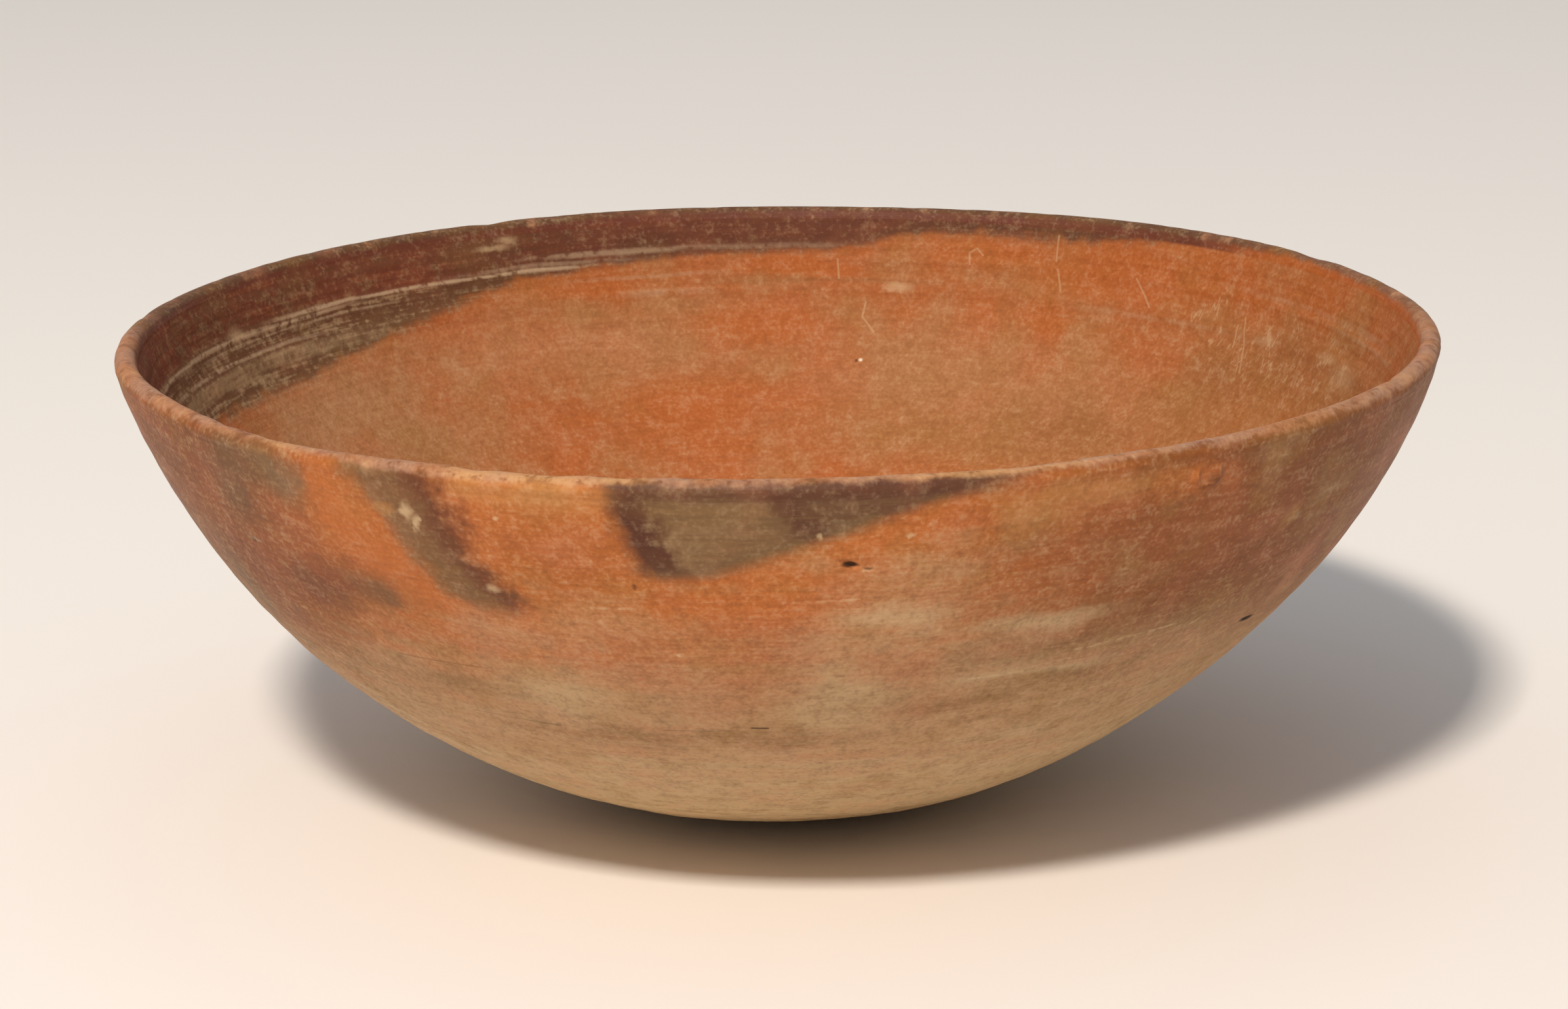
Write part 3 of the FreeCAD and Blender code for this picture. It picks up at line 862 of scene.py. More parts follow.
FLECKS_AND_BLISTER_SHADING = (
    # Painted highlight on the lit left edge of the blister, and painted shadow at its lower right.
    Wash("bright_slip", 0.25, (Blot(35.2, 103.4, 1.1, 2.6, 0.7),)),
    Wash("pit_and_shade", 0.5, (Blot(36.7, 101.4, 0.5, 1.7, 0.8), Blot(36.0, 100.0, 0.9, 0.5, 0.8))),
    Wash("chalk", 0.6, (Blot(-30.7, 99.5, 0.5, 1.7, 0.7), Blot(-30.0, 96.8, 0.3, 1.6, 0.7))),
    Wash("chalk", 0.55, (
        Blot(9.9, 97.3, 0.4, 0.5, 0.7), Blot(6.9, 90.0, 0.28, 0.4, 0.6), Blot(-22.6, 99.9, 0.2, 0.5, 0.6),
        Blot(-9.0, 69.4, 0.25, 0.4, 0.6), Blot(-52.3, 83.2, 1.0, 0.5, 0.7),
        Blot(-24.4, 83.2, 0.5, 0.8, 0.8), Blot(3.0, 97.8, 0.25, 0.7, 0.7))),
    Wash("chalk", 0.24, (Blot(53.6, 90.4, 1.3, 0.5, 0.9), Blot(49.0, 86.4, 0.8, 0.7, 0.9))),
)
HAIRLINES = (((-39.3, 61.2), (-28.7, 61.5)), ((-34.3, 47.8), (-24.0, 46.9)),
             ((-12.3, 48.2), (-5.6, 48.5)), ((160, 66), (172, 67)))
CRACKS = (((-3.2, 49.5), (-1.6, 49.4)), ((128, 58), (133, 57.4)))
RUBS = (((24, 61.6), (30, 62.4)), ((0, 82.6), (6, 82.9)), ((38, 61), (43, 66)),
        ((-16, 80.4), (-12.5, 80.8)), ((28, 64.5), (40, 66.0)), ((17, 60.2), (23, 60.6)))
HAIRLINE_WIDTH, CRACK_WIDTH, RUB_WIDTH = 0.22, 0.24, 0.35
NICK_BOTTOM, NICK_EDGE, DEEP_NICK = 0.8, 0.45, 0.6
OUTER_ROUGHNESS = 0.56
# Bearings between which a change shows: where it starts, is full, fades and ends.
# The painted sheen on the left shows between these bearings.
SHEEN_TURN = (-172, -120, -76, -50)
WORN_LEFT = (-160, -110, -60, -36)


def outer_finish(paint, colours, section):
    """Colour, roughness and relief of the outside, from the lip to the resting flat."""
    place = wall_place(paint, section.outer, inside=False)
    texture = wall_texture(paint, place, turn=7, climb=8)
    patch, mid, smear, strand = texture.patch, texture.mid, texture.smear, texture.strand

    # Partly painted shade: the outside grows browner and darker towards the right, away from the light.
    brown_and_shade = paint.curve(place.bearing + patch * 22, BROWN_AND_SHADE_SHARE)
    tone = paint.blend(brown_and_shade, colours.bright_slip, colours.brown_slip_and_shade)
    tone = paint.blend(paint.rise(patch + smear * 0.5, 0.0, 0.24) * 0.34, tone, colours.buff_clay)
    tone = paint.blend(paint.rise(patch + mid * 0.5, 0.0, -0.24) * 0.32, tone, colours.red_slip)
    tone = wash_over(paint, colours, texture.loose, SLIP_WASHES, tone)

    ragged = place.height - paint.curve(place.bearing, BUFF_EDGE) + patch * 34 + smear * 26 + mid * 14
    bare = paint.rise(ragged, 15, -14)
    tone = paint.blend(bare * 0.85, tone, colours.buff_clay)
    # Paler towards the bottom: partly paler bare clay and partly painted light, for the floor's bounce on
    # the underside.
    pale = paint.rise(place.height + smear * 42 + patch * 26, 52, 20)
    tone = paint.blend(pale * 0.8, tone, colours.pale_clay)
    foot = paint.rise(place.height + patch * 12, 24, 4)
    tone = paint.blend(foot * 0.8, tone, colours.foot_clay_and_bounce_light)
    drift = paint.rise(smear + mid * 0.6, 0.0, -0.22) * paint.rise(place.height, 78, 52)
    tone = paint.blend(drift * 0.24, tone, colours.drift)
    tone = wash_over(paint, colours, texture.loose, CLAY_WASHES, tone)

    # Painted sheen: a greyish haze over the left of the outside, fading out towards the bottom.
    painted_sheen = paint.plateau(place.bearing, *SHEEN_TURN) * paint.rise(place.height, 106, 76)
    tone = paint.blend(painted_sheen * (strand * 0.6 + 0.24), tone, colours.painted_sheen)
    tone = weather(paint, colours, texture, tone, amount=0.62, blush=0.75)

    tone = great_cloud(paint, colours, texture, place, tone)
    tone = brush_cloud(paint, colours, texture, tone)
    tone = wash_over(paint, colours, texture.loose, LEFT_CLOUDS, tone)
    tone = wash_over(paint, colours, texture.wild, BACK_CLOUDS, tone)
    tone = wash_over(paint, colours, texture.loose, OUTER_WEAR, tone)
    left = paint.plateau(place.bearing, *WORN_LEFT)
    tone = weather(paint, colours, texture, tone, amount=left * 0.55 + 0.48, blush=0.4)
    # Flecks and scratches, with the blister's painted highlight and shadow.
    tone = wash_over(paint, colours, texture.fleck, FLECKS_AND_BLISTER_SHADING, tone)
    rubs = marks(paint, place, RUBS, RUB_WIDTH, section.outer) * paint.rise(texture.speck, -0.15, 0.1)
    tone = paint.blend(rubs * 0.32, tone, colours.chalk)

    lines = marks(paint, place, HAIRLINES, HAIRLINE_WIDTH, section.outer) * 0.32
    lines = paint.most((marks(paint, place, CRACKS, CRACK_WIDTH, section.outer), lines))
    # The nicks' bottoms get painted shade, darker the deeper the nick; the cracks and hairlines are dark
    # lines.
    shaded_nicks = nick_shading(paint, place, section)
    tone = paint.blend(paint.most((lines * 0.8, shaded_nicks * 0.9)), tone, colours.pit_and_shade)
    tone = worn_lip(paint, colours, place, texture, section, tone)

    relief = texture.speck * 0.16 + texture.grain * 0.07 + strand * 0.13
    relief = relief + smear * 0.12 + mid * 0.14 - lines * 0.12
    roughness = OUTER_ROUGHNESS + patch * 0.2 + bare * 0.1 + texture.speck * 0.3
    return tone, roughness, relief


def nick_shading(paint, place, section):
    """Painted shade: 1 in the bottoms of the deep nicks, and less in the shallow ones."""
    shaded_nicks = []
    for nick in OUTER_NICKS:
        radius = wall_radius(section.outer, nick.height * MM) / MM
        half_turn = math.degrees(NICK_BOTTOM * nick.half_run / radius)
        spot = Blot(nick.bearing, nick.height, half_turn, NICK_BOTTOM * nick.half_rise, NICK_EDGE)
        shaded_nicks.append(blot(paint, place.chart, spot) * min(1.0, nick.depth / DEEP_NICK))
    return paint.most(shaded_nicks)


def cloud_chart(paint, texture, chart):
    """Bearing and height for the edge of a cloud, pushed about a little by the grain."""
    across, up, _ = paint.node("ShaderNodeSeparateXYZ", None, (chart,), ("X", "Y", "Z"))
    across = across + texture.mid * 2.4 + texture.patch * 2.0
    up = up + texture.mid * 3.2 + texture.smear * 4.0
    return across, up


def great_cloud(paint, colours, texture, place, tone):
    """The great fire cloud at the front: a dark left edge, a grey-tan middle and a tail that runs out to the
    right. Inwards counts degrees from its left edge, and above counts millimetres from its foot."""
    across, up = cloud_chart(paint, texture, place.chart)
    above = up - paint.curve(across, GREAT_CLOUD_FOOT)
    inwards = across - paint.curve(up, GREAT_CLOUD_LEFT)
    cover = paint.rise(above, -2.2, 2.4) * paint.rise(inwards, -1.1, 1.3)
    heart = paint.rise(inwards + texture.speck * 2.0, 2.4, 4.6)
    inside = paint.blend(heart, colours.cloud_dark, colours.cloud_tan)
    corner = paint.rise(inwards, 8.0, 4.5) * paint.rise(above, 4.0, 0.5)
    inside = paint.blend(corner * 0.8, inside, colours.cloud_dark)
    olive = paint.most((paint.rise(above, 5.0, 0.8), paint.rise(inwards, 11.5, 14.5)))
    inside = paint.blend(olive * 0.7, inside, colours.cloud_olive)
    right = paint.rise(inwards, 11.0, 15.0) * paint.rise(above, 1.0, 4.5)
    inside = paint.blend(right * 0.55, inside, colours.cloud_dark)
    streak = blot(paint, paint.vector(across + (up - 100) * STREAK_LEAN, up, 0.0), CLOUD_STREAK)
    inside = paint.blend(streak * 0.6, inside, colours.cloud_dark)
    tail = paint.rise(inwards, 18.5, 23.0)
    inside = paint.blend(tail * 0.65, inside, colours.cloud_dark)
    mottled = paint.rise(texture.smear + texture.mid * 0.8, -0.04, 0.24)
    inside = paint.blend(mottled * heart * 0.5, inside, colours.cloud_grey)
    spots = paint.rise(texture.strand + texture.mid * 0.6, 0.0, -0.20)
    inside = paint.blend(spots * heart * 0.6, inside, colours.cloud_olive)
    under_lip = paint.rise(place.height + texture.mid * 3, 104.5, 107)
    inside = paint.blend(under_lip * 0.7, inside, colours.cloud_dark)
    return paint.blend(cover * 0.95, tone, inside)


def brush_cloud(paint, colours, texture, tone):
    """The narrow cloud to the left of the great one, like a stroke of a brush down and to the right."""
    across, up = cloud_chart(paint, texture, texture.fleck)
    offset = across - paint.curve(up, STROKE_MIDDLE)
    away = abs(offset) / (paint.curve(up, STROKE_HALF) + 0.05)
    cover = paint.rise(away, 1.55, 0.45) * paint.rise(up, 74.5, 80.5)
    inside = paint.blend(paint.rise(offset, -1.0, 2.2), colours.cloud_olive, colours.cloud_dark)
    mottled = paint.rise(texture.mid + texture.smear * 0.6, -0.02, 0.20)
    inside = paint.blend(mottled * 0.4, inside, colours.cloud_grey)
    return paint.blend(cover * 0.82, tone, inside)


# ---------------------------------------------------------------- the inside's finish

# Heights between which the tan ring shows: where it starts, is full, fades and ends.
TAN_RING = (86.6, 88.4, 89.8, 91.6)
BAND_FOOT = ((-180, 110.5), (-165, 110.5), (-140, 104), (-115, 94), (-92, 85), (-78.8, 82.8),
             (-63.4, 82.6), (-56, 84.0), (-49.3, 86.0), (-41.4, 89), (-32.5, 93.0), (-25, 95.8),
             (-15.7, 97.2), (-5.9, 98.2), (5.2, 99.0), (12.8, 102.4), (21.9, 104.0), (30, 103.6),
             (36.7, 105.0), (51.3, 108.5), (60, 111), (180, 111))
INNER_WASHES = (
    Wash("hollow_dusty", 0.75, (
        Blot(-58, 76, 12, 8, 0.7), Blot(-66, 68, 8, 10, 0.7), Blot(-15, 77, 8, 9, 0.8),
        Blot(20, 70, 14, 12, 0.8), Blot(36, 66, 12, 10, 0.8), Blot(-10, 86, 6, 3, 0.8),
        Blot(110, 70, 20, 14, 0.7), Blot(-145, 62, 18, 14, 0.7), Blot(-46, 62, 10, 7, 0.9))),
    Wash("hollow_bright", 0.7, (
        Blot(0.5, 95.2, 6.2, 3.0, 0.35), Blot(46, 99, 16, 7.5, 0.6), Blot(34, 95, 6, 5, 0.6),
        Blot(-20, 92, 8, 4, 0.7), Blot(31, 85, 3.5, 4, 0.7), Blot(-3, 82, 6, 5, 0.8),
        Blot(-12, 64, 7, 6, 0.8), Blot(24, 99, 8, 4, 0.7), Blot(68, 101, 8, 5, 0.7))),
    Wash("hollow_tan", 0.8, (
        Blot(62, 84, 12, 9, 0.8), Blot(76, 84, 10, 12, 0.8), Blot(52, 68, 10, 8, 0.8),
        Blot(30, 58, 20, 6, 0.8), Blot(-50, 62, 6, 5, 0.7))),
    Wash("hollow_brown", 0.5, (
        Blot(57, 79, 6, 6, 0.8), Blot(67, 87, 7, 6, 0.8), Blot(40, 62, 8, 5, 0.8),
        Blot(84, 86, 7, 8, 0.8))),
    Wash("chalk", 0.13, (Blot(-60, 74, 17, 14, 0.9), Blot(-34, 80, 12, 8, 0.9))),
)
INNER_WEAR = (
    Wash("chalk", 0.4, (
        Blot(13.2, 90.3, 1.5, 1.2, 0.6), Blot(-30.6, 104.0, 1.6, 0.7, 0.7),
        Blot(-28.8, 105.6, 0.9, 1.0, 0.7), Blot(-68, 97.2, 1.2, 1.6, 0.9))),
    Wash("chalk", 0.26, (
        Blot(78, 88.4, 2.6, 2.2, 0.95), Blot(73.0, 90.3, 1.6, 1.0, 0.9), Blot(61, 89, 1.6, 1.0, 0.9))),
)
RING_FADE = 5
# A ring: its height, half its width, the bearings where it starts and ends, and its strength.
RING_LINES = ((96.5, 0.38, -95, -50, 0.85), (97.7, 0.32, -60, -20, 0.72), (94.9, 0.26, -76, -44, 0.45),
              (92.0, 0.34, -88, -56, 0.5), (100.3, 0.42, -26, -9, 0.5), (100.2, 0.5, -12, 8, 0.25),
              (98.7, 0.35, -34, -16, 0.35), (94.0, 0.35, -22, -6, 0.25), (88.8, 0.45, 36, 56, 0.18),
              (98.8, 0.5, 56, 86, 0.15), (96.8, 0.4, 72, 92, 0.18), (90.0, 0.6, -16, -9, 0.3))
DARK_RINGS = ((91.8, 0.45, -8, 18, 0.5), (92.8, 0.3, -9, 2, 0.35), (86.4, 0.4, 28, 44, 0.2))
SCRATCHED = (Blot(64, 87, 14, 8, 0.8), Blot(74, 90, 8, 5, 0.8), Blot(54, 90, 6, 7, 0.8))
WHITE_GRAIN, GRAIN_PIT = Blot(9.7, 73.2, 0.22, 0.36, 0.5), Blot(9.2, 73.0, 0.16, 0.36, 0.5)
INNER_ROUGHNESS = 0.74
SCRATCHED_RADIUS = 138
SCRATCH_LAYERS = ((20.0, 5.0, 0.30), (14.0, 4.0, -0.45), (26.0, 3.4, 0.05))
SCRATCH_WIDTH = 0.26
SINGLE_SCRATCHES = (((20.9, 96.6), (20.7, 99.4)), ((20.7, 99.4), (21.5, 100.6)),
                    ((21.5, 100.6), (22.2, 99.0)), ((9.8, 86.6), (9.5, 83.2)),
                    ((9.5, 83.2), (10.9, 79.8)), ((30.3, 105), (30.5, 99)), ((30.9, 97), (31.7, 92)),
                    ((56.4, 93), (57.8, 87)), ((57.8, 87), (59.0, 81)), ((55.8, 91), (56.2, 86)),
                    ((40.5, 97), (43.0, 91)), ((6.5, 96.8), (6.7, 92.2)))


def fine_scratches(paint, place, texture):
    """1 on the many fine crossing scratches on the right inside. Each layer's lines are the level lines of a
    noise drawn out up the wall: its height and width in millimetres, and how far it leans."""
    turn_length = math.radians(1) * SCRATCHED_RADIUS
    layers = []
    for tall, wide, lean in SCRATCH_LAYERS:
        across = place.bearing * turn_length + place.height * lean
        spread = paint.vector(across / wide, place.height / tall, wide)
        layers.append(paint.rise(abs(paint.mottle(spread, 1.0, 1)), 0.016, 0.004))
    field = paint.most(layers)
    region = blots(paint, texture.loose, SCRATCHED)
    return field * region * paint.rise(texture.speck + texture.mid * 1.2, -0.06, 0.16)


def rings_round(paint, place, texture, rings):
    """1 on thin rings that run part of the way round, and less on faint ones."""
    drawn = []
    for level, half, start, end, share in rings:
        drift = place.height - level + texture.smear * 1.6 + texture.patch * 1.2
        reach = paint.rise(abs(drift), half * 2.2, half * 0.2)
        span = paint.plateau(place.bearing, start - RING_FADE, start + RING_FADE, end - RING_FADE,
                             end + RING_FADE)
        drawn.append(reach * span * share)
    return paint.most(drawn)


def inner_finish(paint, colours, section):
    """Colour, roughness and relief of the inside, from the lip to the middle of the floor."""
    place = wall_place(paint, section.inner, inside=True)
    texture = wall_texture(paint, place, turn=8, climb=9)
    patch, mid, smear, strand = texture.patch, texture.mid, texture.smear, texture.strand

    dusty = paint.rise(patch + mid * 0.7, -0.10, 0.20)
    tone = paint.blend(dusty * 0.55, colours.hollow_slip, colours.hollow_dusty)
    bright = paint.rise(patch + smear * 0.7, -0.02, -0.24)
    tone = paint.blend(bright * 0.5, tone, colours.hollow_bright)
    tone = wash_over(paint, colours, texture.loose, INNER_WASHES, tone)
    floor_wear = paint.rise(place.along + patch * 60, 66, 26)
    tone = paint.blend(floor_wear * 0.55, tone, colours.hollow_dusty)
    dark_rings = rings_round(paint, place, texture, DARK_RINGS)
    tone = paint.blend(dark_rings, tone, colours.hollow_brown)

    tone = weather(paint, colours, texture, tone, amount=0.8, blush=0.8)
    tone = dark_band(paint, colours, place, texture, tone)
    rings = rings_round(paint, place, texture, RING_LINES)
    broken = paint.rise(mid + texture.speck * 0.8, -0.26, 0.0)
    tone = paint.blend(rings * broken, tone, colours.ring)
    tone = wash_over(paint, colours, texture.fleck, INNER_WEAR, tone)

    field = fine_scratches(paint, place, texture)
    singles = marks(paint, place, SINGLE_SCRATCHES, SCRATCH_WIDTH, section.inner)
    scratched = paint.most((field * 0.34, singles * 0.3))
    tone = paint.blend(scratched, tone, colours.chalk)
    dot = blot(paint, place.chart, WHITE_GRAIN)
    tone = paint.blend(dot * 0.85, tone, colours.white_dot)
    pit_and_shade = blot(paint, place.chart, GRAIN_PIT)
    tone = paint.blend(pit_and_shade * 0.6, tone, colours.pit_and_shade)
    tone = worn_lip(paint, colours, place, texture, section, tone)

    relief = texture.speck * 0.15 + texture.grain * 0.07 + strand * 0.11
    relief = relief + smear * 0.09 + mid * 0.10 - scratched * 0.1 + rings * 0.05
    roughness = INNER_ROUGHNESS + patch * 0.16 + texture.speck * 0.2
    return tone, roughness, relief


def dark_band(paint, colours, place, texture, tone):
    """The dark band that the fire left under the lip inside, with its rings."""
    mid, smear, strand = texture.mid, texture.smear, texture.strand
    foot = paint.curve(place.bearing + texture.patch * 6, BAND_FOOT)
    above = place.height - foot + mid * 4.5 + smear * 3.5 + texture.speck * 1.4
    cover = paint.rise(above, -1.2, 2.0)
    level = place.height + smear * 3.2 + mid * 1.6
    inside = paint.blend(paint.rise(level, 96.6, 99.0), colours.band_brown, colours.band_maroon)
    tan = paint.plateau(level, *TAN_RING) * paint.rise(place.bearing, -38, -58)
    inside = paint.blend(tan * 0.8, inside, colours.band_tan)
    low = paint.rise(above, 5.0, 0.6)
    inside = paint.blend(low * 0.5, inside, colours.cloud_olive)
    streaky = strand + smear * 0.6 + texture.speck * 0.7
    fibres = paint.rise(streaky, -0.06, 0.24) * paint.rise(level, 99.4, 96.4)
    inside = paint.blend(fibres * 0.78, inside, colours.band_tan)
    faint = paint.rise(streaky, 0.0, 0.26) * paint.rise(level, 96, 99)
    inside = paint.blend(faint * 0.22, inside, colours.red_slip)
    olive = paint.rise(mid + texture.speck * 0.9, 0.0, 0.26) * paint.rise(level, 96, 99)
    inside = paint.blend(olive * 0.5, inside, colours.cloud_olive)
    sooty = paint.rise(streaky, -0.04, -0.24)
    inside = paint.blend(sooty * 0.5, inside, colours.band_brown)
    blotched = paint.rise(texture.patch + mid * 0.5, -0.04, 0.16)
    inside = paint.blend(blotched * 0.35, inside, colours.band_brown)
    inside = paint.blend(paint.rise(place.bearing, -46, -16) * 0.6, inside, colours.cloud_dark)
    inside = weather(paint, colours, texture, inside, amount=0.6, blush=0.5)
    return paint.blend(cover * 0.93, tone, inside)


# ---------------------------------------------------------------- the lip and the bare clay

LIP_LEVEL = 109
LIP_PALE = (Blot(-24.5, LIP_LEVEL, 2.0, 3, 0.6), Blot(-18.0, LIP_LEVEL, 4.6, 3, 0.6),
            Blot(-12.4, LIP_LEVEL, 1.8, 3, 0.6), Blot(17.0, LIP_LEVEL, 8.0, 3, 0.8),
            Blot(-44.0, LIP_LEVEL, 2.6, 3, 0.8))
LIP_EDGE = ((-180, 108.3), (-70, 107.9), (-44, 108.3), (-24, 107.5), (-12, 108.6), (0, 108.9),
            (26, 108.8), (38, 108.3), (50, 107.9), (84, 107.9), (100, 108.3), (180, 108.3))
LIP_SOOT = ((-180, 1.0), (-104, 1.0), (-92, 0.55), (-82, 0.0), (76, 0.0), (94, 0.6), (112, 0.85),
            (150, 1.0), (180, 1.0))
HOLLOW_SOOT = ((-180, 1.0), (-60, 1.0), (-30, 0.0), (122, 0.0), (134, 1.0), (180, 1.0))
# Across the lip, a blot has millimetres out from its crown in place of a height.
LIP_GREY = Blot(24, -2.0, 11, 1.6, 0.5)


def worn_lip(paint, colours, place, texture, section, tone):
    """Carries the hollow's colours over the inner half of the lip, then rubs the slip off its crown. The
    crown is dark where the dark band reaches it."""
    bearing = paint.maths("ARCTAN2", place.x, 0 - place.y) * math.degrees(1)
    side = place.radius - section.lip.radius / MM
    hollow = paint.blend(paint.curve(bearing, HOLLOW_SOOT), colours.hollow_bright, colours.band_maroon)
    hollow = weather(paint, colours, texture, hollow, amount=0.7, blush=0.6)
    tone = paint.blend(paint.rise(side, 0.5, -1.1) * paint.rise(place.height, 106.2, 107.0), tone, hollow)

    ragged = texture.speck * 0.7 + texture.mid * 1.8 + texture.smear * 2.0
    worn = paint.rise(place.height - paint.curve(bearing, LIP_EDGE) + ragged, -0.5, 1.0)
    chart = paint.vector(bearing + texture.mid * 5.0, LIP_LEVEL, 0.0)
    pale = paint.most((blots(paint, chart, LIP_PALE), paint.rise(texture.mid, -0.04, 0.24) * 0.4))
    lip = paint.blend(paint.rise(texture.patch, -0.10, 0.12) * 0.5, colours.lip_clay, colours.bright_slip)
    lip = paint.blend(pale * 0.7, lip, colours.lip_pale)
    dull = paint.rise(texture.mid + texture.speck, -0.04, -0.22)
    lip = paint.blend(dull * 0.6, lip, colours.brown_slip_and_shade)
    grey = blot(paint, paint.vector(bearing, side, 0.0), LIP_GREY) * paint.rise(texture.speck, -0.12, 0.08)
    lip = paint.blend(grey * 0.7, lip, colours.deposit)
    soot = paint.curve(bearing, LIP_SOOT) * paint.rise(texture.mid, 0.40, 0.06)
    lip = paint.blend(soot * 0.92, lip, colours.lip_soot)
    lip = weather(paint, colours, texture, lip, amount=0.9, blush=1.2)
    return paint.blend(worn * 0.92, tone, lip)


FINISHES = {"inner red slip": inner_finish, "outer red slip": outer_finish}
SHEEN = {"fired clay": 0.16, "inner red slip": 0.11, "outer red slip": 0.16}
BARE_CLAY = "fired clay"


def make_material(name, colours, section):
    """One of the bowl's finishes, as a material. The slip outside is so thin and so worn at its edges that
    the bare clay has a finish like it, which runs on over both."""
    like = "outer red slip" if name == BARE_CLAY else name
    if like in bpy.data.materials:
        material = bpy.data.materials[like].copy()
        material.name = name
        return material
    material = bpy.data.materials.new(name)
    material.use_nodes = True
    paint = Paint(material.node_tree)
    tone, roughness, relief = FINISHES[like](paint, colours, section)
    paint.finish(tone, roughness, relief, {"Specular IOR Level": SHEEN[name]})
    return material


FLOOR_MOTTLE, FLOOR_MOTTLE_SHARE, FLOOR_DARKER = 500 * MM, 0.10, 0.05


def floor_material(stage):
    """The plain pale floor, very faintly clouded."""
    material = bpy.data.materials.new("pale floor")
    material.use_nodes = True
    paint = Paint(material.node_tree)
    spot = paint.node("ShaderNodeTexCoord", output="Object")
    grey = paint.mottle(spot, FLOOR_MOTTLE, 2) * FLOOR_MOTTLE_SHARE + FLOOR_DARKER
    tone = paint.blend(grey, stage.floor_colour, stage.surround)
    shader = paint.node("ShaderNodeBsdfPrincipled", None,
                        {"Base Color": tone, "Roughness": 0.9, "Specular IOR Level": 0.1})
    paint.node("ShaderNodeOutputMaterial", None, {"Surface": shader})
    return material


SKY_FROM, SKY_TO = -0.1, 1.0


def light_surround(scene, stage):
    """Soft light from all round and most from above. Seen or mirrored, it is one plain pale colour."""
    world = bpy.data.worlds.new("surround")
    world.use_nodes = True
    scene.world = world
    paint = Paint(world.node_tree)
    way = paint.node("ShaderNodeTexCoord", output="Generated")
    rightward, _, upward = paint.node("ShaderNodeSeparateXYZ", None, (way,), ("X", "Y", "Z"))
    level = paint.rise(upward, SKY_FROM, SKY_TO) * (stage.surround_light - stage.side_light)
    level = level + stage.side_light - rightward * stage.left_light
    camera, glossy, through = paint.node("ShaderNodeLightPath", output=("Is Camera Ray", "Is Glossy Ray",
                                                                        "Is Transmission Ray"))
    seen = paint.most((camera, glossy, through))
    strength = seen + (1 - seen) * level
    tint = paint.blend(seen, stage.surround_tint, stage.surround)
    shader = paint.node("ShaderNodeBackground", None, {"Color": tint, "Strength": strength})
    paint.node("ShaderNodeOutputWorld", None, {"Surface": shader})


# ---------------------------------------------------------------- operators

def check_closed(mesh, name):
    """Stops the making of a piece whose shell has a gap."""
    loose = [edge for edge in mesh.edges if len(edge.link_faces) != 2]
    if loose:
        raise RuntimeError(f"{name}: {len(loose)} edges don't join two faces")


def finish_piece(name, material_name, mesh, scene, section):
    """Makes the mesh a shaded object with its material, which rides with the bowl."""
    check_closed(mesh, name)
    data = bpy.data.meshes.new(name)
    mesh.to_mesh(data)
    mesh.free()
    data.shade_smooth()
    data.set_sharp_from_angle(angle=SHARP_EDGE)
    data.materials.append(make_material(material_name, scene.bowl_colours, section))
    piece = bpy.data.objects.new(name, data)
    scene.collection.objects.link(piece)
    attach(piece, BODY)
    return piece


class BOWL_OT_clay_body(bpy.types.Operator):
    """Makes the clay: the flat, the wall and the rounded lip"""
    bl_idname = "bowl.clay_body"
    bl_label = "Clay body"

    def execute(self, context):
        sizes = context.scene.bowl_sizes
        section = bowl_section(sizes)
        mesh = clay_mesh(sizes, section)
        for nick in OUTER_NICKS:
            refine_near(mesh, nick, section.outer)
        cut_nicks(mesh, section.outer, sizes.outer_slip, CLAY_SPREAD)
        shape_by_hand(mesh, section)
        piece = finish_piece("bowl_clay", "fired clay", mesh, context.scene, section)
        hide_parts("clay_body")
        return {"FINISHED"}


class BOWL_OT_inner_slip(bpy.types.Operator):
    """Makes the coat of slip inside, with its rills"""
    bl_idname = "bowl.inner_slip"
    bl_label = "Inner slip"

    def execute(self, context):
        sizes = context.scene.bowl_sizes
        section = bowl_section(sizes)
        mesh = inner_slip_mesh(sizes, section)
        raise_rills(mesh, section.inner, sizes.inner_slip)
        feather_edges(mesh, section.inner, sizes.inner_slip, sizes.feather, -1,
                      ((section.hollow_top, TOP_REACH),))
        shape_by_hand(mesh, section)
        piece = finish_piece("bowl_inner_slip", "inner red slip", mesh, context.scene,
                             section)
        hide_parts("inner_slip")
        return {"FINISHED"}


class BOWL_OT_outer_slip(bpy.types.Operator):
    """Makes the coat of slip outside, with its nicks and its blister"""
    bl_idname = "bowl.outer_slip"
    bl_label = "Outer slip"

    def execute(self, context):
        sizes = context.scene.bowl_sizes
        section = bowl_section(sizes)
        mesh = outer_slip_mesh(sizes, section)
        for mark in (*OUTER_NICKS, BLISTER):
            refine_near(mesh, mark, section.outer)
        feather_edges(mesh, section.outer, sizes.outer_slip, sizes.feather, 1,
                      ((section.slip_foot, FOOT_REACH), (section.slip_top, TOP_REACH)))
        raise_blister(mesh, section.outer, sizes.outer_slip)
        cut_nicks(mesh, section.outer, sizes.outer_slip, COAT_SPREAD)
        shape_by_hand(mesh, section)
        piece = finish_piece("bowl_outer_slip", "outer red slip", mesh, context.scene,
                             section)
        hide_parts("outer_slip")
        return {"FINISHED"}


class BOWL_OT_stage(bpy.types.Operator):
    """Makes the floor, the light and the camera"""
    bl_idname = "bowl.stage"
    bl_label = "Stage"

    def execute(self, context):
        scene = context.scene
        stage = scene.bowl_stage
        scene.view_settings.view_transform = "Standard"
        lay_floor(scene, stage)
        light_surround(scene, stage)
        hang_light(scene, stage)
        place_camera(scene, stage)
        return {"FINISHED"}


FLOOR_GAP = 0.1 * MM
FLOOR_SIDES = 96


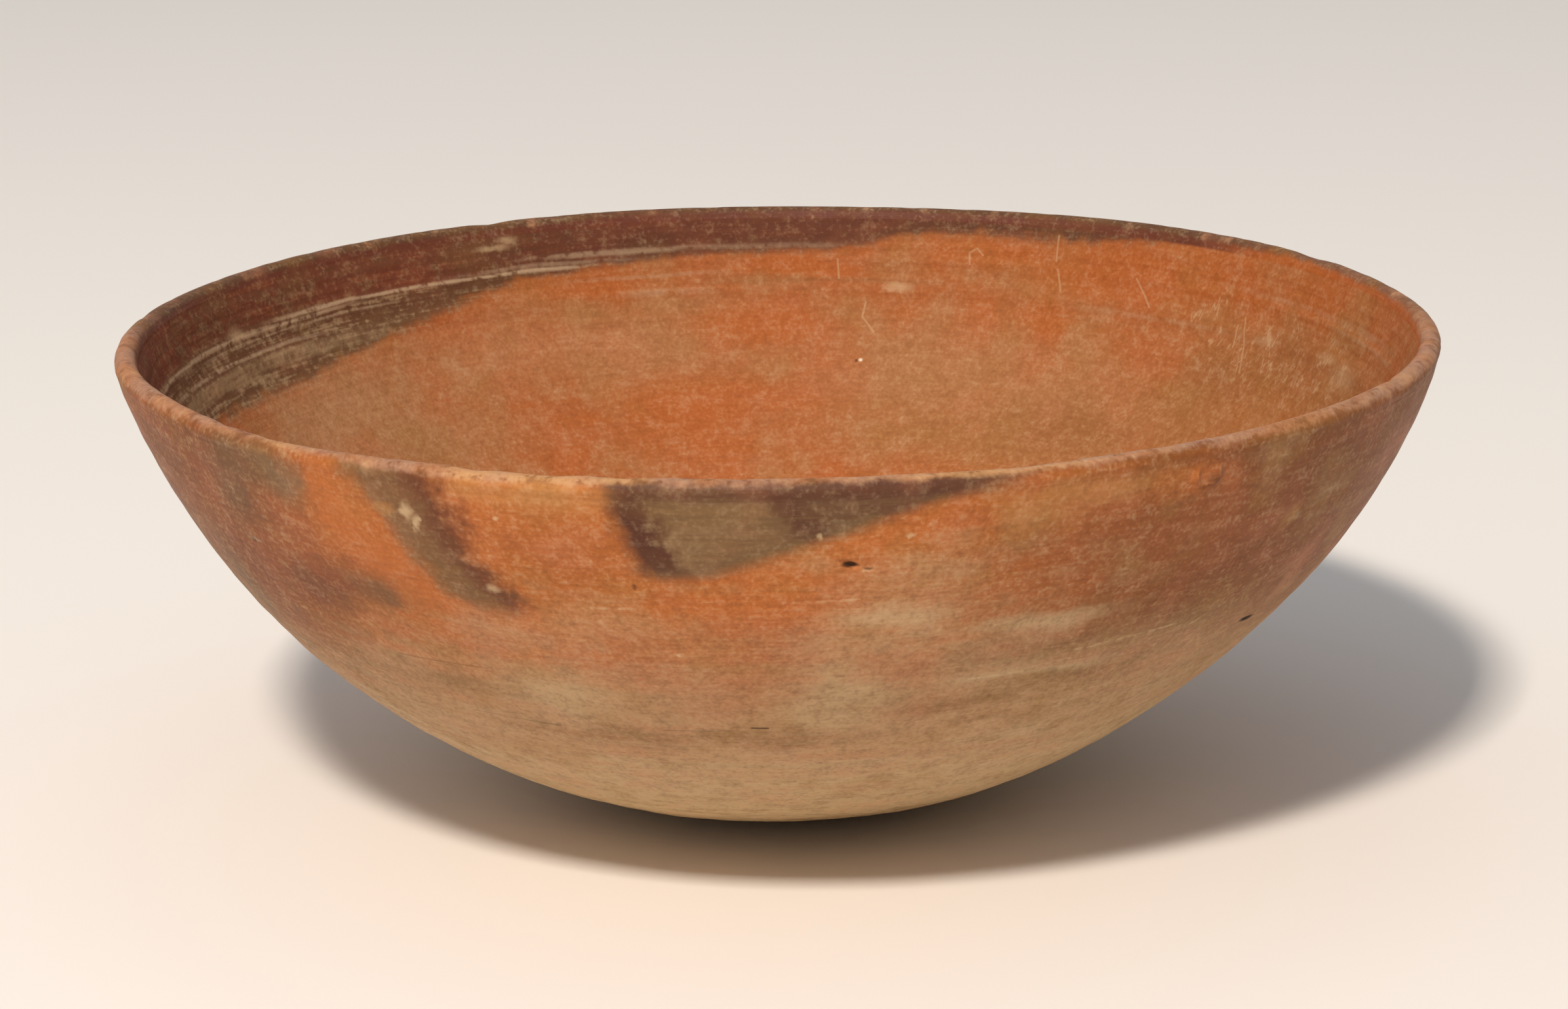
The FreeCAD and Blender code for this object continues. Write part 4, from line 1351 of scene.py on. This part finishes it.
def lay_floor(scene, stage):
    """A wide round floor just under the bowl."""
    mesh = bmesh.new()
    bmesh.ops.create_circle(mesh, cap_ends=True, segments=FLOOR_SIDES, radius=stage.floor_radius)
    bmesh.ops.translate(mesh, verts=mesh.verts, vec=(0, 0, -FLOOR_GAP))
    data = bpy.data.meshes.new("floor")
    mesh.to_mesh(data)
    mesh.free()
    data.materials.append(floor_material(stage))
    floor = bpy.data.objects.new("floor", data)
    scene.collection.objects.link(floor)


def hang_light(scene, stage):
    """A square soft light, above the front and a little to the left."""
    level = math.cos(stage.key_rise)
    towards = Vector((math.sin(stage.key_bearing) * level, -math.cos(stage.key_bearing) * level,
                      math.sin(stage.key_rise)))
    lamp = bpy.data.lights.new("main light", "AREA")
    lamp.energy = stage.key_watts
    lamp.color = stage.key_tint
    lamp.size = stage.key_width
    light = bpy.data.objects.new("main light", lamp)
    light.location = towards * stage.key_distance
    light.rotation_euler = towards.to_track_quat("Z", "Y").to_euler()
    scene.collection.objects.link(light)


CLIP_NEAR, CLIP_FAR = 0.01, 100


def place_camera(scene, stage):
    """The camera, looking down at the bowl from the front."""
    camera = bpy.data.cameras.new("camera")
    camera.lens = stage.lens
    camera.clip_start, camera.clip_end = CLIP_NEAR, CLIP_FAR
    view = bpy.data.objects.new("camera", camera)
    turned = Matrix.Rotation(stage.yaw, 4, "Z") @ Matrix.Rotation(math.pi / 2 - stage.pitch, 4, "X")
    view.matrix_world = Matrix.Translation(stage.eye) @ turned @ Matrix.Rotation(stage.roll, 4, "Z")
    scene.collection.objects.link(view)
    scene.camera = view


class BOWL_PT_bowl(bpy.types.Panel):
    """The bowl's pieces, sizes and colours"""
    bl_idname = "BOWL_PT_bowl"
    bl_label = "Burnished Slip Bowl"
    bl_space_type = "VIEW_3D"
    bl_region_type = "UI"
    bl_category = "Bowl"

    def draw(self, context):
        layout = self.layout
        for operator in OPERATORS:
            layout.operator(operator.bl_idname)
        for group in (context.scene.bowl_sizes, context.scene.bowl_colours, context.scene.bowl_stage):
            box = layout.box()
            for name in group.__annotations__:
                box.prop(group, name)


GROUPS = {"bowl_sizes": BowlSizes, "bowl_colours": SlipColours, "bowl_stage": BowlStage}
OPERATORS = (BOWL_OT_clay_body, BOWL_OT_inner_slip, BOWL_OT_outer_slip, BOWL_OT_stage)


def register():
    """Adds the settings, the operators and the panel."""
    for made in (*GROUPS.values(), *OPERATORS, BOWL_PT_bowl):
        bpy.utils.register_class(made)
    for name, group in GROUPS.items():
        setattr(bpy.types.Scene, name, bpy.props.PointerProperty(type=group))


def unregister():
    """Takes the panel, the operators and the settings away."""
    for name in GROUPS:
        delattr(bpy.types.Scene, name)
    for made in reversed((*GROUPS.values(), *OPERATORS, BOWL_PT_bowl)):
        bpy.utils.unregister_class(made)


def main():
    """Makes the bowl on its floor."""
    register()
    bpy.ops.bowl.clay_body()
    bpy.ops.bowl.inner_slip()
    bpy.ops.bowl.outer_slip()
    bpy.ops.bowl.stage()


if __name__ == "__main__":
    main()
